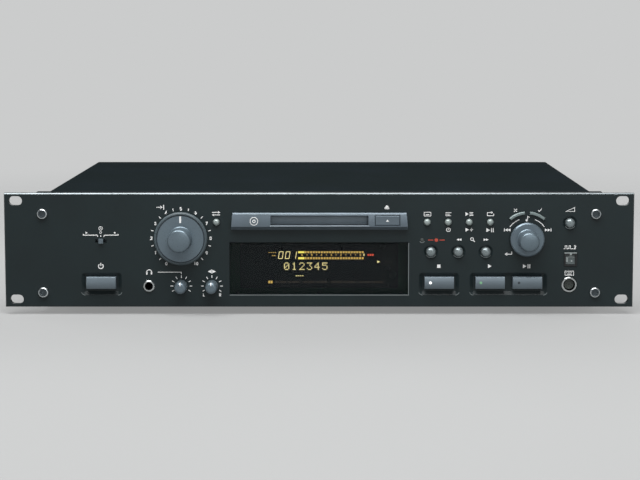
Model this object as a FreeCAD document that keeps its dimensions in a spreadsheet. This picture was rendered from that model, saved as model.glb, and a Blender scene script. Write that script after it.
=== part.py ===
"""Rack-width minidisc deck, built as a parametric FreeCAD document.

The deck is a two-unit aluminium panel on a moulded frame, a steel tray with a wrap-round cover, and
a slot-loading disc drive on a stand inside.  +X is to the right of someone facing the panel, +Y runs
from the panel to the rear, +Z is up, and the origin is the centre of the footprint on the floor.
Every driving dimension is a cell of the sheet "sizes"; everything else is worked out from them.
"""

import FreeCAD
import Part
import Sketcher
import math
import os

DOC = FreeCAD.newDocument("minidisc_deck")
SHEET = DOC.addObject("Spreadsheet::Sheet", "sizes")

# Driving dimensions in millimetres, grouped as (group, {alias: value}).
# Places across the panel are measured from its middle, and heights from its lower edge.
SIZES = [
    ("front panel", {
        "panel_width": 482.6, "panel_height": 88.1, "panel_thick": 4.0, "panel_bevel": 0.8,
        "rack_pitch_wide": 465.1, "rack_pitch_high": 76.2, "rack_slot_long": 10.4,
        "rack_slot_radius": 3.6, "recess_depth": 1.6, "recess_corner": 3.0, "recess_slope": 60.0,
    }),
    ("case", {
        "body_depth": 285.0, "case_width": 432.0, "cover_drop": 4.0, "cover_sheet": 1.0,
        "tray_sheet": 1.2, "foot_height": 9.0, "foot_drop": 6.0, "foot_radius": 19.0,
        "foot_inset_wide": 42.0, "foot_inset_deep": 40.0, "tray_flange": 14.0, "sheet_bend": 2.0,
        "vent_long": 34.0, "vent_wide": 2.4, "vent_pitch": 7.0, "vent_count": 14.0,
        "post_radius": 3.0, "post_height": 6.0, "case_screw": 1.5,
    }),
    ("front frame", {
        "frame_width": 436.0, "frame_deep": 11.0, "frame_wall": 2.5, "frame_web": 2.5,
        "frame_below": 1.5, "frame_above": 0.3, "boss_radius": 4.0, "frame_post": 1.8,
    }),
    ("panel screws", {
        "screw_wide": 423.8, "screw_low": 11.5, "screw_high": 72.2, "screw_radius": 2.0,
        "screw_head_radius": 3.9, "screw_head_high": 2.4, "socket_flat": 4.7, "socket_deep": 2.0,
        "screw_tail": 6.0,
    }),
    ("knobs", {
        "knob_reach": 18.0, "input_x": -105.9, "input_z": 53.3, "input_radius": 20.4,
        "input_plate": 3.2, "input_boss_radius": 9.1, "groove_radius": 18.2, "groove_deep": 1.1, "groove_wide": 1.1,
        "trim_x": -82.4, "trim_z": 16.2, "trim_radius": 4.9, "trim_reach": 11.0, "trim_dome": 2.6,
        "boss_edge": 1.6,
        "track_x": 159.4, "track_z": 52.6, "track_radius": 13.0, "track_plate": 3.2,
        "track_boss_radius": 7.7, "shaft_radius": 3.0, "knob_gap": 0.6, "track_travel": 0.8,
        "bushing_radius": 4.5, "pot_radius": 9.0, "pot_deep": 8.0,
    }),
    ("keys", {
        "key_gap": 0.3, "small_radius": 2.6, "small_reach": 2.6, "small_dome": 2.1, "small_z": 65.7,
        "small_first_x": 82.8, "small_pitch": 16.1, "selector_x": -78.7,
        "round_radius": 3.8, "round_reach": 3.6, "round_dome": 2.9, "round_z": 42.7, "round_first_x": 85.8,
        "round_pitch": 21.05, "round_recess": 5.7, "fader_z": 65.0, "wide_long": 22.6, "wide_high": 9.1,
        "wide_reach": 4.0, "wide_crown": 1.0, "wide_z": 19.0, "wide_recess_low": 9.3, "wide_recess_high": 26.6,
        "wide_recess_side": 4.2, "power_x": -167.2, "power_travel": 3.5, "stop_x": 92.2,
        "play_x": 131.2, "ready_x": 159.8, "key_travel": 0.8, "collar_extra": 1.1,
        "collar_thick": 1.4, "stem_radius": 1.5, "key_edge": 0.45,
        "arc_inner": 19.1, "arc_outer": 21.4, "arc_start": 5.4, "arc_end": 40.5, "arc_reach": 1.6,
        "column_x": 192.2, "eject_x": 52.3, "eject_long": 18.5, "eject_high": 7.2,
    }),
    ("switches and boards", {
        "board_front": 20.0, "board_thick": 1.6, "switch_side": 6.0, "switch_deep": 4.4,
        "switch_bore_gap": 0.25, "board_low": 5.0, "board_high": 83.0,
        "left_board_out": -198.0, "left_board_in": -74.0, "left_board_step_x": -143.0,
        "left_board_step_z": 31.0, "right_board_in": 74.0, "right_board_out": 200.0,
        "right_board_step_x": 47.0, "right_board_step_z": 57.5,
        "power_switch_side": 12.0, "power_switch_deep": 24.0, "power_stem": 4.0,
    }),
    ("timer switch", {
        "timer_z": 51.2, "timer_knob_wide": 3.4, "timer_knob_high": 3.6, "timer_reach": 1.8,
        "timer_travel": 2.5, "timer_body_long": 15.0, "timer_body_high": 7.0, "timer_neck": 2.0,
    }),
    ("slot bezel", {
        "slot_x": 0.35, "bezel_long": 135.4, "bezel_low": 59.9, "bezel_top": 73.1,
        "bezel_taper": 1.0,
        "bezel_reach": 3.0, "bezel_bevel_low": 2.7, "bezel_bevel": 0.9, "collar_long": 130.0,
        "collar_low": 62.3, "collar_top": 72.7, "collar_deep": 12.0, "slot_long": 74.8,
        "slot_low": 63.6, "slot_high": 71.2, "door_thick": 1.0, "door_depth": 2.6, "door_rise": 0.2,
        "door_gap": 0.3, "door_pin": 0.45, "hinge_room": 0.9,
    }),
    ("display", {
        "window_long": 136.8, "window_low": 9.6, "window_high": 49.5, "window_sink": 0.9,
        "window_flange": 2.0, "window_flange_thick": 1.5, "window_bevel": 0.8,
        "tube_long": 122.0, "tube_high": 34.0, "tube_deep": 6.0, "tube_z": 30.4,
    }),
    ("front sockets", {
        "phones_x": -130.8, "phones_bore": 3.2, "phones_ring": 4.4, "phones_deep": 28.0,
        "keyboard_z": 17.3, "keyboard_ring": 5.9, "keyboard_bore": 4.6, "keyboard_deep": 7.0,
        "optic_x": 193.0, "optic_z": 37.1, "optic_wide": 9.6, "optic_high": 10.6,
        "optic_hole_wide": 7.4, "optic_hole_high": 7.6, "optic_deep": 10.0, "shutter_thick": 0.8,
        "lamp_x": 79.0, "lamp_z": 51.8, "lamp_radius": 1.5,
    }),
    ("rear", {
        "jack_reach": 9.0, "jack_radius": 4.15, "jack_core": 1.7, "jack_pitch": 14.0,
        "jack_block_deep": 12.0, "line_x": 96.0, "jack_low_z": 30.0,
        "jack_flange": 6.0, "coax_x": 40.0, "inlet_x": -165.0, "inlet_z": 46.0,
        "inlet_wide": 27.0, "inlet_high": 19.5, "inlet_deep": 17.0, "inlet_flange_wide": 50.0,
        "inlet_flange_high": 24.0, "inlet_wall": 1.5, "inlet_lip": 2.5, "inlet_screw_pitch": 40.0,
    }),
    ("drive", {
        "drive_wide": 89.0, "drive_wall": 1.5, "drive_floor": 40.0, "drive_start": 24.0,
        "drive_long": 112.0, "drive_high": 38.0, "spindle_depth": 62.0, "holder_start": 26.0,
        "holder_long": 70.0, "holder_inner_wide": 73.0, "holder_inner_high": 5.6,
        "holder_low": 64.9, "holder_sheet": 0.8, "holder_drop": 4.5, "pin_radius": 1.0,
        "slider_travel": 12.0, "slider_thick": 1.2, "motor_radius": 11.0, "table_radius": 8.5,
        "table_low": 58.0, "table_high": 61.5, "spindle_radius": 0.75, "rod_radius": 1.5,
        "rod_spread": 22.0, "sled_gap": 0.8, "sled_long": 24.0,
        "sled_wide": 56.0, "sled_low": 47.0, "sled_high": 56.0, "lens_radius": 2.2,
        "screw_offset": 31.5, "screw_rod": 1.2, "arm_wide": 12.0, "arm_thick": 1.2,
        "gear_module": 0.5, "gear_teeth": 20.0, "gear_thick": 2.0, "gear_depth": 44.0,
        "running_gap": 0.05, "part_gap": 0.3, "stand_sheet": 1.5, "damper_radius": 4.5,
        "damper_high": 4.0,
    }),
    ("inside", {
        "main_board_wide": 190.0, "main_board_long": 120.0, "main_board_x": 100.0,
        "main_board_start": 158.0, "power_board_wide": 96.0, "power_board_long": 120.0,
        "power_board_x": -152.0, "power_board_start": 60.0, "core_wide": 66.0, "core_long": 54.0,
        "core_high": 52.0, "core_x": -150.0, "core_start": 200.0, "coil_out": 9.0,
    }),
]


class Size:
    """A dimension that carries its number and the sheet formula that gives it."""

    def __init__(self, text, value):
        self.text = text
        self.value = value

    def __add__(self, other):
        return combine(self, "+", other, self.value + number(other))

    def __radd__(self, other):
        return combine(other, "+", self, number(other) + self.value)

    def __sub__(self, other):
        return combine(self, "-", other, self.value - number(other))

    def __rsub__(self, other):
        return combine(other, "-", self, number(other) - self.value)

    def __mul__(self, other):
        return combine(self, "*", other, self.value * number(other))

    def __rmul__(self, other):
        return combine(other, "*", self, number(other) * self.value)

    def __truediv__(self, other):
        return combine(self, "/", other, self.value / number(other))

    def __neg__(self):
        return combine(0, "-", self, -self.value)


def number(size):
    """The plain number of a Size or a number."""
    return size.value if isinstance(size, Size) else float(size)


def text(size):
    """The formula of a Size or a number."""
    return size.text if isinstance(size, Size) else f"({float(size)!r})"


def combine(left, sign, right, value):
    """Two dimensions joined by an arithmetic sign."""
    return Size(f"({text(left)} {sign} {text(right)})", value)


class Sheet:
    """The driving dimensions as attributes, each tied to its cell."""


def fill_sheet():
    """Writes the sizes into the sheet, one cell and alias each, and returns them as Size objects."""
    sizes = Sheet()
    row = 1
    for group, cells in SIZES:
        SHEET.set(f"A{row}", group)
        for alias, value in cells.items():
            row += 1
            SHEET.set(f"A{row}", alias.replace("_", " "))
            SHEET.set(f"B{row}", str(value))
            SHEET.setAlias(f"B{row}", alias)
            setattr(sizes, alias, Size(f"sizes.{alias}", float(value)))
        row += 2
    DOC.recompute()
    return sizes


S = fill_sheet()

# Places worked out from the driving dimensions.
FACE = S.knob_reach - (S.knob_reach + S.body_depth + S.jack_reach) / 2
BASE = S.foot_drop
PANEL_BACK = FACE + S.panel_thick
FRAME_BACK = PANEL_BACK + S.frame_deep
REAR = FACE + S.body_depth
REAR_INNER = REAR - S.tray_sheet
COVER_TOP = BASE + S.panel_height - S.cover_drop
TRAY_LOW = S.foot_height
TRAY_TOP = TRAY_LOW + S.tray_sheet
TRAY_SIDE = S.case_width / 2 - S.cover_sheet
SLOT_CENTRE = BASE + S.holder_low + S.holder_inner_high / 2
DRIVE_FLOOR = BASE + S.drive_floor
SPINDLE_Y = FACE + S.spindle_depth
WEB_BACK = S.panel_thick + S.frame_web
SWITCH_FRONT = S.board_front - S.switch_deep


class Circle:
    """A round outline about (u, v)."""

    def __init__(self, u, v, radius):
        self.u, self.v, self.radius = u, v, radius

    def draw(self, sketch):
        centre = FreeCAD.Vector(number(self.u), number(self.v), 0)
        edge = Part.Circle(centre, FreeCAD.Vector(0, 0, 1), number(self.radius))
        index = sketch.addGeometry(edge, False)
        fix_point(sketch, index, 3, self.u, self.v)
        fix_value(sketch, "Radius", (index,), self.radius)


class Polygon:
    """A closed outline through corner points (u, v)."""

    def __init__(self, *corners):
        self.corners = corners

    def draw(self, sketch):
        points = [FreeCAD.Vector(number(u), number(v), 0) for u, v in self.corners]
        count = len(points)
        first = sketch.GeometryCount
        for i in range(count):
            sketch.addGeometry(Part.LineSegment(points[i], points[(i + 1) % count]), False)
        for i in range(count):
            sketch.addConstraint(
                Sketcher.Constraint("Coincident", first + i, 2, first + (i + 1) % count, 1))
        for i, (u, v) in enumerate(self.corners):
            fix_point(sketch, first + i, 1, u, v)


def box(u0, v0, u1, v1):
    """A rectangular outline between two opposite corners."""
    return Polygon((u0, v0), (u1, v0), (u1, v1), (u0, v1))


def centred(u, v, wide, high):
    """A rectangular outline about its centre."""
    return box(u - wide / 2, v - high / 2, u + wide / 2, v + high / 2)


class Crown:
    """An outline whose low-u side bulges by rise: a straight back, two straight sides and an arc."""

    def __init__(self, front, back, high, rise):
        self.front, self.back, self.high, self.rise = front, back, high, rise

    def draw(self, sketch):
        half = self.high / 2
        edge = self.front + self.rise
        radius = (half * half + self.rise * self.rise) / (self.rise * 2)
        corners = ((self.back, -half), (self.back, half), (edge, half), (edge, -half))
        points = [FreeCAD.Vector(number(u), number(v), 0) for u, v in corners]
        first = sketch.GeometryCount
        for start, end in ((0, 1), (1, 2), (3, 0)):
            sketch.addGeometry(Part.LineSegment(points[start], points[end]), False)
        spread = math.asin(number(half) / number(radius))
        centre = FreeCAD.Vector(number(self.front) + number(radius), 0, 0)
        circle = Part.Circle(centre, FreeCAD.Vector(0, 0, 1), number(radius))
        sketch.addGeometry(Part.ArcOfCircle(circle, math.pi - spread, math.pi + spread), False)
        for one, end, other, start in ((0, 2, 1, 1), (1, 2, 3, 1), (3, 2, 2, 1), (2, 2, 0, 1)):
            sketch.addConstraint(
                Sketcher.Constraint("Coincident", first + one, end, first + other, start))
        for line, (u, v) in zip((0, 1, 2), (corners[0], corners[1], corners[3])):
            fix_point(sketch, first + line, 1, u, v)
        fix_point(sketch, first + 1, 2, edge, half)
        fix_value(sketch, "Radius", (first + 3,), radius)


class Rounded:
    """A rectangular outline with four equal corner arcs, about its centre."""

    def __init__(self, u, v, wide, high, radius):
        self.u, self.v, self.wide, self.high, self.radius = u, v, wide, high, radius

    def draw(self, sketch):
        reach_u = self.wide / 2 - self.radius
        reach_v = self.high / 2 - self.radius
        centres = [(self.u + reach_u * a, self.v + reach_v * b)
                   for a, b in ((1, 1), (-1, 1), (-1, -1), (1, -1))]
        radius = number(self.radius)
        first = sketch.GeometryCount
        ends = []
        for i, (u, v) in enumerate(centres):
            centre = FreeCAD.Vector(number(u), number(v), 0)
            circle = Part.Circle(centre, FreeCAD.Vector(0, 0, 1), radius)
            start = math.pi / 2 * i
            sketch.addGeometry(Part.ArcOfCircle(circle, start, start + math.pi / 2), False)
            ends.append([centre + FreeCAD.Vector(math.cos(t), math.sin(t), 0) * radius
                         for t in (start, start + math.pi / 2)])
        for i in range(4):
            sketch.addGeometry(Part.LineSegment(ends[i][1], ends[(i + 1) % 4][0]), False)
        for i, (u, v) in enumerate(centres):
            line = first + 4 + i
            following = first + (i + 1) % 4
            sketch.addConstraint(Sketcher.Constraint("Tangent", first + i, 2, line, 1))
            sketch.addConstraint(Sketcher.Constraint("Tangent", line, 2, following, 1))
            sketch.addConstraint(Sketcher.Constraint("Vertical" if i % 2 else "Horizontal", line))
            fix_value(sketch, "Radius", (first + i,), self.radius)
            if i in (0, 2):
                fix_point(sketch, first + i, 3, u, v)


class Slot:
    """A straight slot with round ends, along u, about its centre."""

    def __init__(self, u, v, long, radius):
        self.u, self.v, self.long, self.radius = u, v, long, radius

    def draw(self, sketch):
        reach = self.long / 2 - self.radius
        radius = number(self.radius)
        first = sketch.GeometryCount
        for side, start in ((1, -math.pi / 2), (-1, math.pi / 2)):
            centre = FreeCAD.Vector(number(self.u + reach * side), number(self.v), 0)
            circle = Part.Circle(centre, FreeCAD.Vector(0, 0, 1), radius)
            sketch.addGeometry(Part.ArcOfCircle(circle, start, start + math.pi), False)
        for row, side in ((1, 1), (-1, -1)):
            height = number(self.v) + radius * row
            right = FreeCAD.Vector(number(self.u + reach * side), height, 0)
            left = FreeCAD.Vector(number(self.u - reach * side), height, 0)
            sketch.addGeometry(Part.LineSegment(right, left), False)
        for arc, end, line, start in ((0, 2, 2, 1), (2, 2, 1, 1), (1, 2, 3, 1), (3, 2, 0, 1)):
            sketch.addConstraint(
                Sketcher.Constraint("Tangent", first + arc, end, first + line, start))
        fix_value(sketch, "Radius", (first,), self.radius)
        fix_value(sketch, "Radius", (first + 1,), self.radius)
        fix_point(sketch, first, 3, self.u + reach, self.v)
        fix_point(sketch, first + 1, 3, self.u - reach, self.v)


class Ring:
    """A stretch of a ring about (u, v): two radii, and two angles in degrees from the u axis."""

    def __init__(self, u, v, inner, outer, start, end):
        self.u, self.v, self.inner, self.outer = u, v, inner, outer
        self.start, self.end = start, end

    def draw(self, sketch):
        centre = FreeCAD.Vector(number(self.u), number(self.v), 0)
        first = sketch.GeometryCount
        angles = [math.radians(number(a)) for a in (self.start, self.end)]
        for radius in (self.outer, self.inner):
            circle = Part.Circle(centre, FreeCAD.Vector(0, 0, 1), number(radius))
            sketch.addGeometry(Part.ArcOfCircle(circle, *angles), False)
        for angle in angles:
            out = FreeCAD.Vector(math.cos(angle), math.sin(angle), 0)
            sketch.addGeometry(Part.LineSegment(
                centre + out * number(self.inner), centre + out * number(self.outer)), False)
        for arc, arc_end, line, line_end in ((0, 1, 2, 2), (0, 2, 3, 2), (1, 1, 2, 1), (1, 2, 3, 1)):
            sketch.addConstraint(Sketcher.Constraint(
                "Coincident", first + arc, arc_end, first + line, line_end))
        for arc, radius in ((0, self.outer), (1, self.inner)):
            fix_point(sketch, first + arc, 3, self.u, self.v)
            fix_value(sketch, "Radius", (first + arc,), radius)
        for line, angle in ((2, self.start), (3, self.end)):
            index = sketch.addConstraint(Sketcher.Constraint(
                "Angle", first + line, math.radians(number(angle))))
            if isinstance(angle, Size):
                sketch.setExpression(f"Constraints[{index}]", f"{angle.text} * 1 deg")


def fix_value(sketch, kind, members, size):
    """Adds a dimension to a sketch and ties it to its formula."""
    index = sketch.addConstraint(Sketcher.Constraint(kind, *members, number(size)))
    if isinstance(size, Size):
        sketch.setExpression(f"Constraints[{index}]", size.text)


def fix_point(sketch, geometry, end, u, v):
    """Places one point of a sketch from the sketch's origin."""
    fix_value(sketch, "DistanceX", (-1, 1, geometry, end), u)
    fix_value(sketch, "DistanceY", (-1, 1, geometry, end), v)


class Piece:
    """A sub-part: a PartDesign body with sketches on planes across X, Y or Z.

    Outlines on a plane across Y are drawn in (x, z), across Z in (x, y), and across X in (y, z).
    """

    PLANES = {"y": ("XZ_Plane", -1), "z": ("XY_Plane", 1), "x": ("YZ_Plane", 1)}

    def __init__(self, label):
        self.body = DOC.addObject("PartDesign::Body", label)
        self.body.Label = label
        self.body.AllowCompound = True
        self.steps = 0

    def name(self, kind):
        """A name for the next feature of this body."""
        self.steps += 1
        return f"{self.body.Label}_{kind}_{self.steps}"

    def sketch(self, across, at, outlines):
        """A sketch at one level of an axis, holding the outlines."""
        role, sense = self.PLANES[across]
        plane = next(o for o in self.body.Origin.OriginFeatures if o.Role == role)
        sketch = self.body.newObject("Sketcher::SketchObject", self.name("sketch"))
        sketch.AttachmentSupport = [(plane, "")]
        sketch.MapMode = "FlatFace"
        sketch.setExpression("AttachmentOffset.Base.z", text(at * sense))
        for outline in outlines:
            outline.draw(sketch)
        sketch.Visibility = False
        return sketch

    def add(self, across, low, high, *outlines):
        """Adds material inside the outlines, from low to high along the axis."""
        start = high if self.PLANES[across][1] < 0 else low
        pad = self.feature("Pad", self.sketch(across, start, outlines), high - low)
        pad.Reversed = False
        return self

    def cut(self, across, low, high, *outlines, slope=None):
        """Cuts the outlines away from low to high along the axis, narrowing by slope degrees."""
        start = low if self.PLANES[across][1] < 0 else high
        before = self.volume()
        pocket = self.feature("Pocket", self.sketch(across, start, outlines), high - low)
        if slope is not None:
            pocket.setExpression("TaperAngle", text(-slope))
            DOC.recompute()
        if not self.volume() < before - 1e-6:
            raise RuntimeError(f"{pocket.Label} cuts nothing")
        return self

    def feature(self, kind, sketch, length):
        """A Pad or Pocket of one length on a sketch."""
        made = self.body.newObject(f"PartDesign::{kind}", self.name(kind.lower()))
        made.Profile = (sketch, [""])
        made.setExpression("Length", text(length))
        DOC.recompute()
        return made

    def turn(self, *profile, across="x"):
        """Turns (y, radius) points about the piece's Y axis or, drawn across y, (radius, z) about Z."""
        sketch = self.sketch(across, 0, [Polygon(*profile)])
        made = self.body.newObject("PartDesign::Revolution", self.name("turn"))
        made.Profile = (sketch, [""])
        made.ReferenceAxis = (sketch, ["H_Axis"] if across == "x" else ["V_Axis"])
        made.Angle = 360
        DOC.recompute()
        return self

    def repeat(self, kind, sketch, count, length):
        """Repeats the last Pad along its sketch's horizontal axis, or round its normal."""
        made = self.body.newObject(f"PartDesign::{kind}", self.name(kind.lower()))
        made.Originals = [self.body.Tip]
        made.Occurrences = count
        if length is None:
            made.Axis = (sketch, ["N_Axis"])
            made.Angle = 360
        else:
            made.Direction = (sketch, ["H_Axis"])
            made.setExpression("Length", text(length))
        self.body.Tip = made
        DOC.recompute()
        return self

    def soften(self, kind, size, choose):
        """A Fillet or Chamfer on each edge that the chooser accepts."""
        tip = self.body.Tip
        edges = [f"Edge{i + 1}" for i, edge in enumerate(tip.Shape.Edges) if choose(edge)]
        if not edges:
            raise RuntimeError(f"{self.body.Label} has no edge to soften")
        made = self.body.newObject(f"PartDesign::{kind}", self.name(kind.lower()))
        made.Base = (tip, edges)
        made.setExpression("Size" if kind == "Chamfer" else "Radius", text(size))
        DOC.recompute()
        return self

    def place(self, x, y, z):
        """Moves the body's own origin to a place in the deck."""
        for axis, value in zip("xyz", (x, y, z)):
            self.body.setExpression(f"Placement.Base.{axis}", text(value))
        return self

    def volume(self):
        """The volume so far."""
        return self.body.Tip.Shape.Volume if self.body.Tip else 0.0


def along(axis, edge):
    """True for a straight edge that runs along an axis, given as a vector."""
    if not isinstance(edge.Curve, Part.Line):
        return False
    return abs(abs(edge.Curve.Direction.dot(axis)) - 1) < 1e-6


AXIS_X = FreeCAD.Vector(1, 0, 0)
AXIS_Y = FreeCAD.Vector(0, 1, 0)
AXIS_Z = FreeCAD.Vector(0, 0, 1)


def panel_piece(label):
    """A piece drawn in panel places: y is the depth behind the panel's face, z from its lower edge."""
    return Piece(label).place(0, FACE, BASE)


def pair(size):
    """A dimension and its opposite."""
    return -size, size


SMALL_KEYS = [
    ("selector_button", S.selector_x),
    ("display_button", S.small_first_x),
    ("title_button", S.small_first_x + S.small_pitch),
    ("mode_button", S.small_first_x + S.small_pitch * 2),
    ("repeat_button", S.small_first_x + S.small_pitch * 3),
]
FADER_PLACE = (S.column_x, S.fader_z)
ROUND_KEYS = [
    ("record_button", S.round_first_x, S.round_z),
    ("search_back_button", S.round_first_x + S.round_pitch, S.round_z),
    ("search_forward_button", S.round_first_x + S.round_pitch * 2, S.round_z),
    ("fader_button", *FADER_PLACE),
]
WIDE_KEYS = [
    ("power_button", S.power_x),
    ("stop_button", S.stop_x),
    ("play_button", S.play_x),
    ("ready_button", S.ready_x),
]
TRIM_KNOBS = [("phones_knob", S.input_x), ("balance_knob", S.trim_x)]
ARC_MIDDLE = math.radians(90 + number(S.arc_start + S.arc_end) / 2)
ARC_RADIUS = (S.arc_inner + S.arc_outer) / 2
ARC_KEYS = [
    ("edit_button", 90 + S.arc_start, 90 + S.arc_end, math.cos(ARC_MIDDLE)),
    ("yes_button", 90 - S.arc_end, 90 - S.arc_start, -math.cos(ARC_MIDDLE)),
]
SLOT_MIDDLE = (S.slot_low + S.slot_high) / 2
SCREW_PLACES = [(x, z) for x in pair(S.screw_wide / 2) for z in (S.screw_low, S.screw_high)]
POST_PLACES = [(-190, 76), (-190, 40), (-138, 76), (-150, 10), (-94, 10), (-64, 6.6), (64, 6.6),
               (0, 6.6), (84, 76), (108, 31), (178, 76), (178, 31), (60, 81)]


def control_holes(room):
    """Openings for the controls and sockets, each larger than its part by the room given."""
    gap = S.key_gap + room
    holes = [Circle(x, z, S.screw_radius + gap) for x, z in SCREW_PLACES]
    holes += [Circle(x, S.small_z, S.small_radius + gap) for _, x in SMALL_KEYS]
    holes += [Circle(x, z, S.round_radius + gap) for _, x, z in ROUND_KEYS]
    holes += [centred(x, S.wide_z, S.wide_long + gap * 2, S.wide_high + gap * 2)
              for _, x in WIDE_KEYS]
    holes += [Circle(x, S.trim_z, S.shaft_radius + gap) for _, x in TRIM_KNOBS]
    holes += [Circle(S.input_x, S.input_z, S.bushing_radius + gap),
              Circle(S.track_x, S.track_z, S.bushing_radius + gap),
              Circle(S.lamp_x, S.lamp_z, S.lamp_radius + gap / 2),
              Circle(S.phones_x, S.trim_z, S.phones_ring - 0.7 + gap),
              Circle(S.column_x, S.keyboard_z, S.keyboard_ring + gap)]
    holes.append(centred(S.optic_x, S.optic_z, S.optic_wide + gap * 2, S.optic_high + gap * 2))
    holes.append(centred(S.power_x, S.timer_z, S.timer_knob_wide + (S.timer_travel + gap) * 2,
                         S.timer_neck + gap * 2))
    reach = gap / S.arc_inner * (180 / math.pi)
    holes += [Ring(S.track_x, S.track_z, S.arc_inner - gap, S.arc_outer + gap,
                   start - reach, end + reach) for _, start, end, _ in ARC_KEYS]
    return holes


def make_front_panel():
    """The aluminium rack panel: bevelled plate, rack slots, sloped recesses and openings."""
    panel = panel_piece("front_panel")
    half = S.panel_width / 2
    panel.add("y", 0, S.panel_thick, box(-half, 0, half, S.panel_height))
    panel.soften("Chamfer", S.panel_bevel, lambda edge: edge.BoundBox.YMax < 0.01)
    middle = S.panel_height / 2
    panel.cut("y", 0, S.panel_thick, *[
        Slot(x, middle + z, S.rack_slot_long, S.rack_slot_radius)
        for x in pair(S.rack_pitch_wide / 2) for z in pair(S.rack_pitch_high / 2)])
    high = S.wide_recess_high - S.wide_recess_low
    level = (S.wide_recess_high + S.wide_recess_low) / 2
    single = S.wide_long + S.wide_recess_side * 2
    double = S.ready_x - S.play_x + single
    panel.cut("y", 0, S.recess_depth,
              Rounded(S.power_x, level, single, high, S.recess_corner),
              Rounded(S.stop_x, level, single, high, S.recess_corner),
              Rounded((S.play_x + S.ready_x) / 2, level, double, high, S.recess_corner),
              slope=S.recess_slope)
    panel.cut("y", 0, S.recess_depth,
              *[Circle(x, z, S.round_recess) for _, x, z in ROUND_KEYS], slope=S.recess_slope)
    panel.cut("y", 0, S.panel_thick, *control_holes(0))
    panel.cut("y", 0, S.panel_thick, collar_outline(S.key_gap))
    panel.cut("y", 0, S.panel_thick, window_outline(0.15))
    panel.cut("y", 0, S.window_bevel, window_outline(S.window_bevel), slope=45)
    return panel


def collar_outline(room):
    """The outline of the bezel's collar behind the panel, larger by the room given."""
    half = S.collar_long / 2 + room
    return box(S.slot_x - half, S.collar_low - room, S.slot_x + half, S.collar_top + room)


def window_outline(room):
    """The outline of the display opening, larger by the room given."""
    half = S.window_long / 2 + room
    return box(-half, S.window_low - room, half, S.window_high + room)


def make_front_frame():
    """The moulded frame behind the panel: a rim, a web with openings, screw bosses and board posts."""
    frame = panel_piece("front_frame")
    half = S.frame_width / 2
    top = S.panel_height - S.frame_above
    back = S.panel_thick + S.frame_deep
    rim = S.frame_wall
    frame.add("y", S.panel_thick, back, box(-half, S.frame_below, half, top),
              box(-half + rim, S.frame_below + rim, half - rim, top - rim))
    frame.add("y", S.panel_thick, WEB_BACK, box(-half, S.frame_below, half, top))
    frame.add("y", WEB_BACK, back, *[Circle(x, z, S.boss_radius) for x, z in SCREW_PLACES])
    frame.add("y", WEB_BACK, S.board_front, *[Circle(x, z, S.frame_post) for x, z in POST_PLACES])
    frame.add("y", WEB_BACK, back + 1,
              *[Circle(S.power_x + x, S.wide_z, S.post_radius) for x in pair(S.wide_long / 2 + 5)])
    frame.cut("y", S.panel_thick, WEB_BACK, *control_holes(0.4)[len(SCREW_PLACES):])
    frame.cut("y", S.panel_thick, back,
              *[Circle(x, z, S.screw_radius + S.running_gap) for x, z in SCREW_PLACES])
    frame.cut("y", S.panel_thick, WEB_BACK, collar_outline(S.key_gap + 0.2))
    frame.cut("y", S.panel_thick, WEB_BACK, window_outline(S.window_flange + S.part_gap))
    return frame


def make_panel_screws():
    """Four socket screws that hold the panel and its frame to the tray's ears."""
    screws = panel_piece("panel_screws")
    end = S.panel_thick + S.frame_deep + S.screw_tail
    screws.add("y", -S.screw_head_high, 0,
               *[Circle(x, z, S.screw_head_radius) for x, z in SCREW_PLACES])
    screws.soften("Fillet", S.screw_head_high * 0.5,
                  lambda edge: edge.BoundBox.YMax < 0.01 - number(S.screw_head_high))
    screws.add("y", 0, end, *[Circle(x, z, S.screw_radius) for x, z in SCREW_PLACES])
    corner = S.socket_flat / math.sqrt(3)
    sockets = [Polygon(*[(x + corner * math.cos(math.radians(a)), z + corner * math.sin(math.radians(a)))
                         for a in range(0, 360, 60)]) for x, z in SCREW_PLACES]
    screws.cut("y", -S.screw_head_high, S.socket_deep - S.screw_head_high, *sockets)
    return screws


def finish_key(key, edge, collar, stem, collar_at, end, front, kind="Fillet"):
    """Softens a key's front edge, then adds its retaining collar and its stem."""
    limit = 0.01 - number(front)
    key.soften(kind, edge, lambda line: line.BoundBox.YMax < limit)
    key.add("y", collar_at, collar_at + S.collar_thick, collar)
    key.add("y", collar_at + S.collar_thick, end, stem)
    return key


def make_round_key(label, x, z, radius, reach, dome):
    """A round, domed key on a switch of the front boards."""
    key = Piece(label).place(x, FACE, BASE + z)
    collar_at = WEB_BACK + S.part_gap
    key.add("y", -reach, collar_at, Circle(0, 0, radius))
    return finish_key(key, dome, Circle(0, 0, radius + S.collar_extra), Circle(0, 0, S.stem_radius),
                      collar_at, SWITCH_FRONT + S.key_travel, reach)


def make_wide_key(label, x, stem=None, end=None):
    """A wide key with a crowned face, on a small switch unless another stem is given."""
    key = Piece(label).place(x, FACE, BASE + S.wide_z)
    collar_at = WEB_BACK + S.part_gap
    half = S.wide_long / 2
    key.add("x", -half, half, Crown(-S.wide_reach, collar_at, S.wide_high, S.wide_crown))
    extra = S.collar_extra * 2
    collar = centred(0, 0, S.wide_long + extra, S.wide_high + extra)
    return finish_key(key, S.key_edge, collar, stem or Circle(0, 0, S.stem_radius), collar_at,
                      end or SWITCH_FRONT + S.key_travel, S.wide_reach - S.wide_crown)


def make_power_button():
    """The power key, with a square stem into its latching switch."""
    return make_wide_key("power_button", S.power_x, centred(0, 0, S.power_stem, S.power_stem),
                         S.panel_thick + S.frame_deep + 3)


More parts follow.
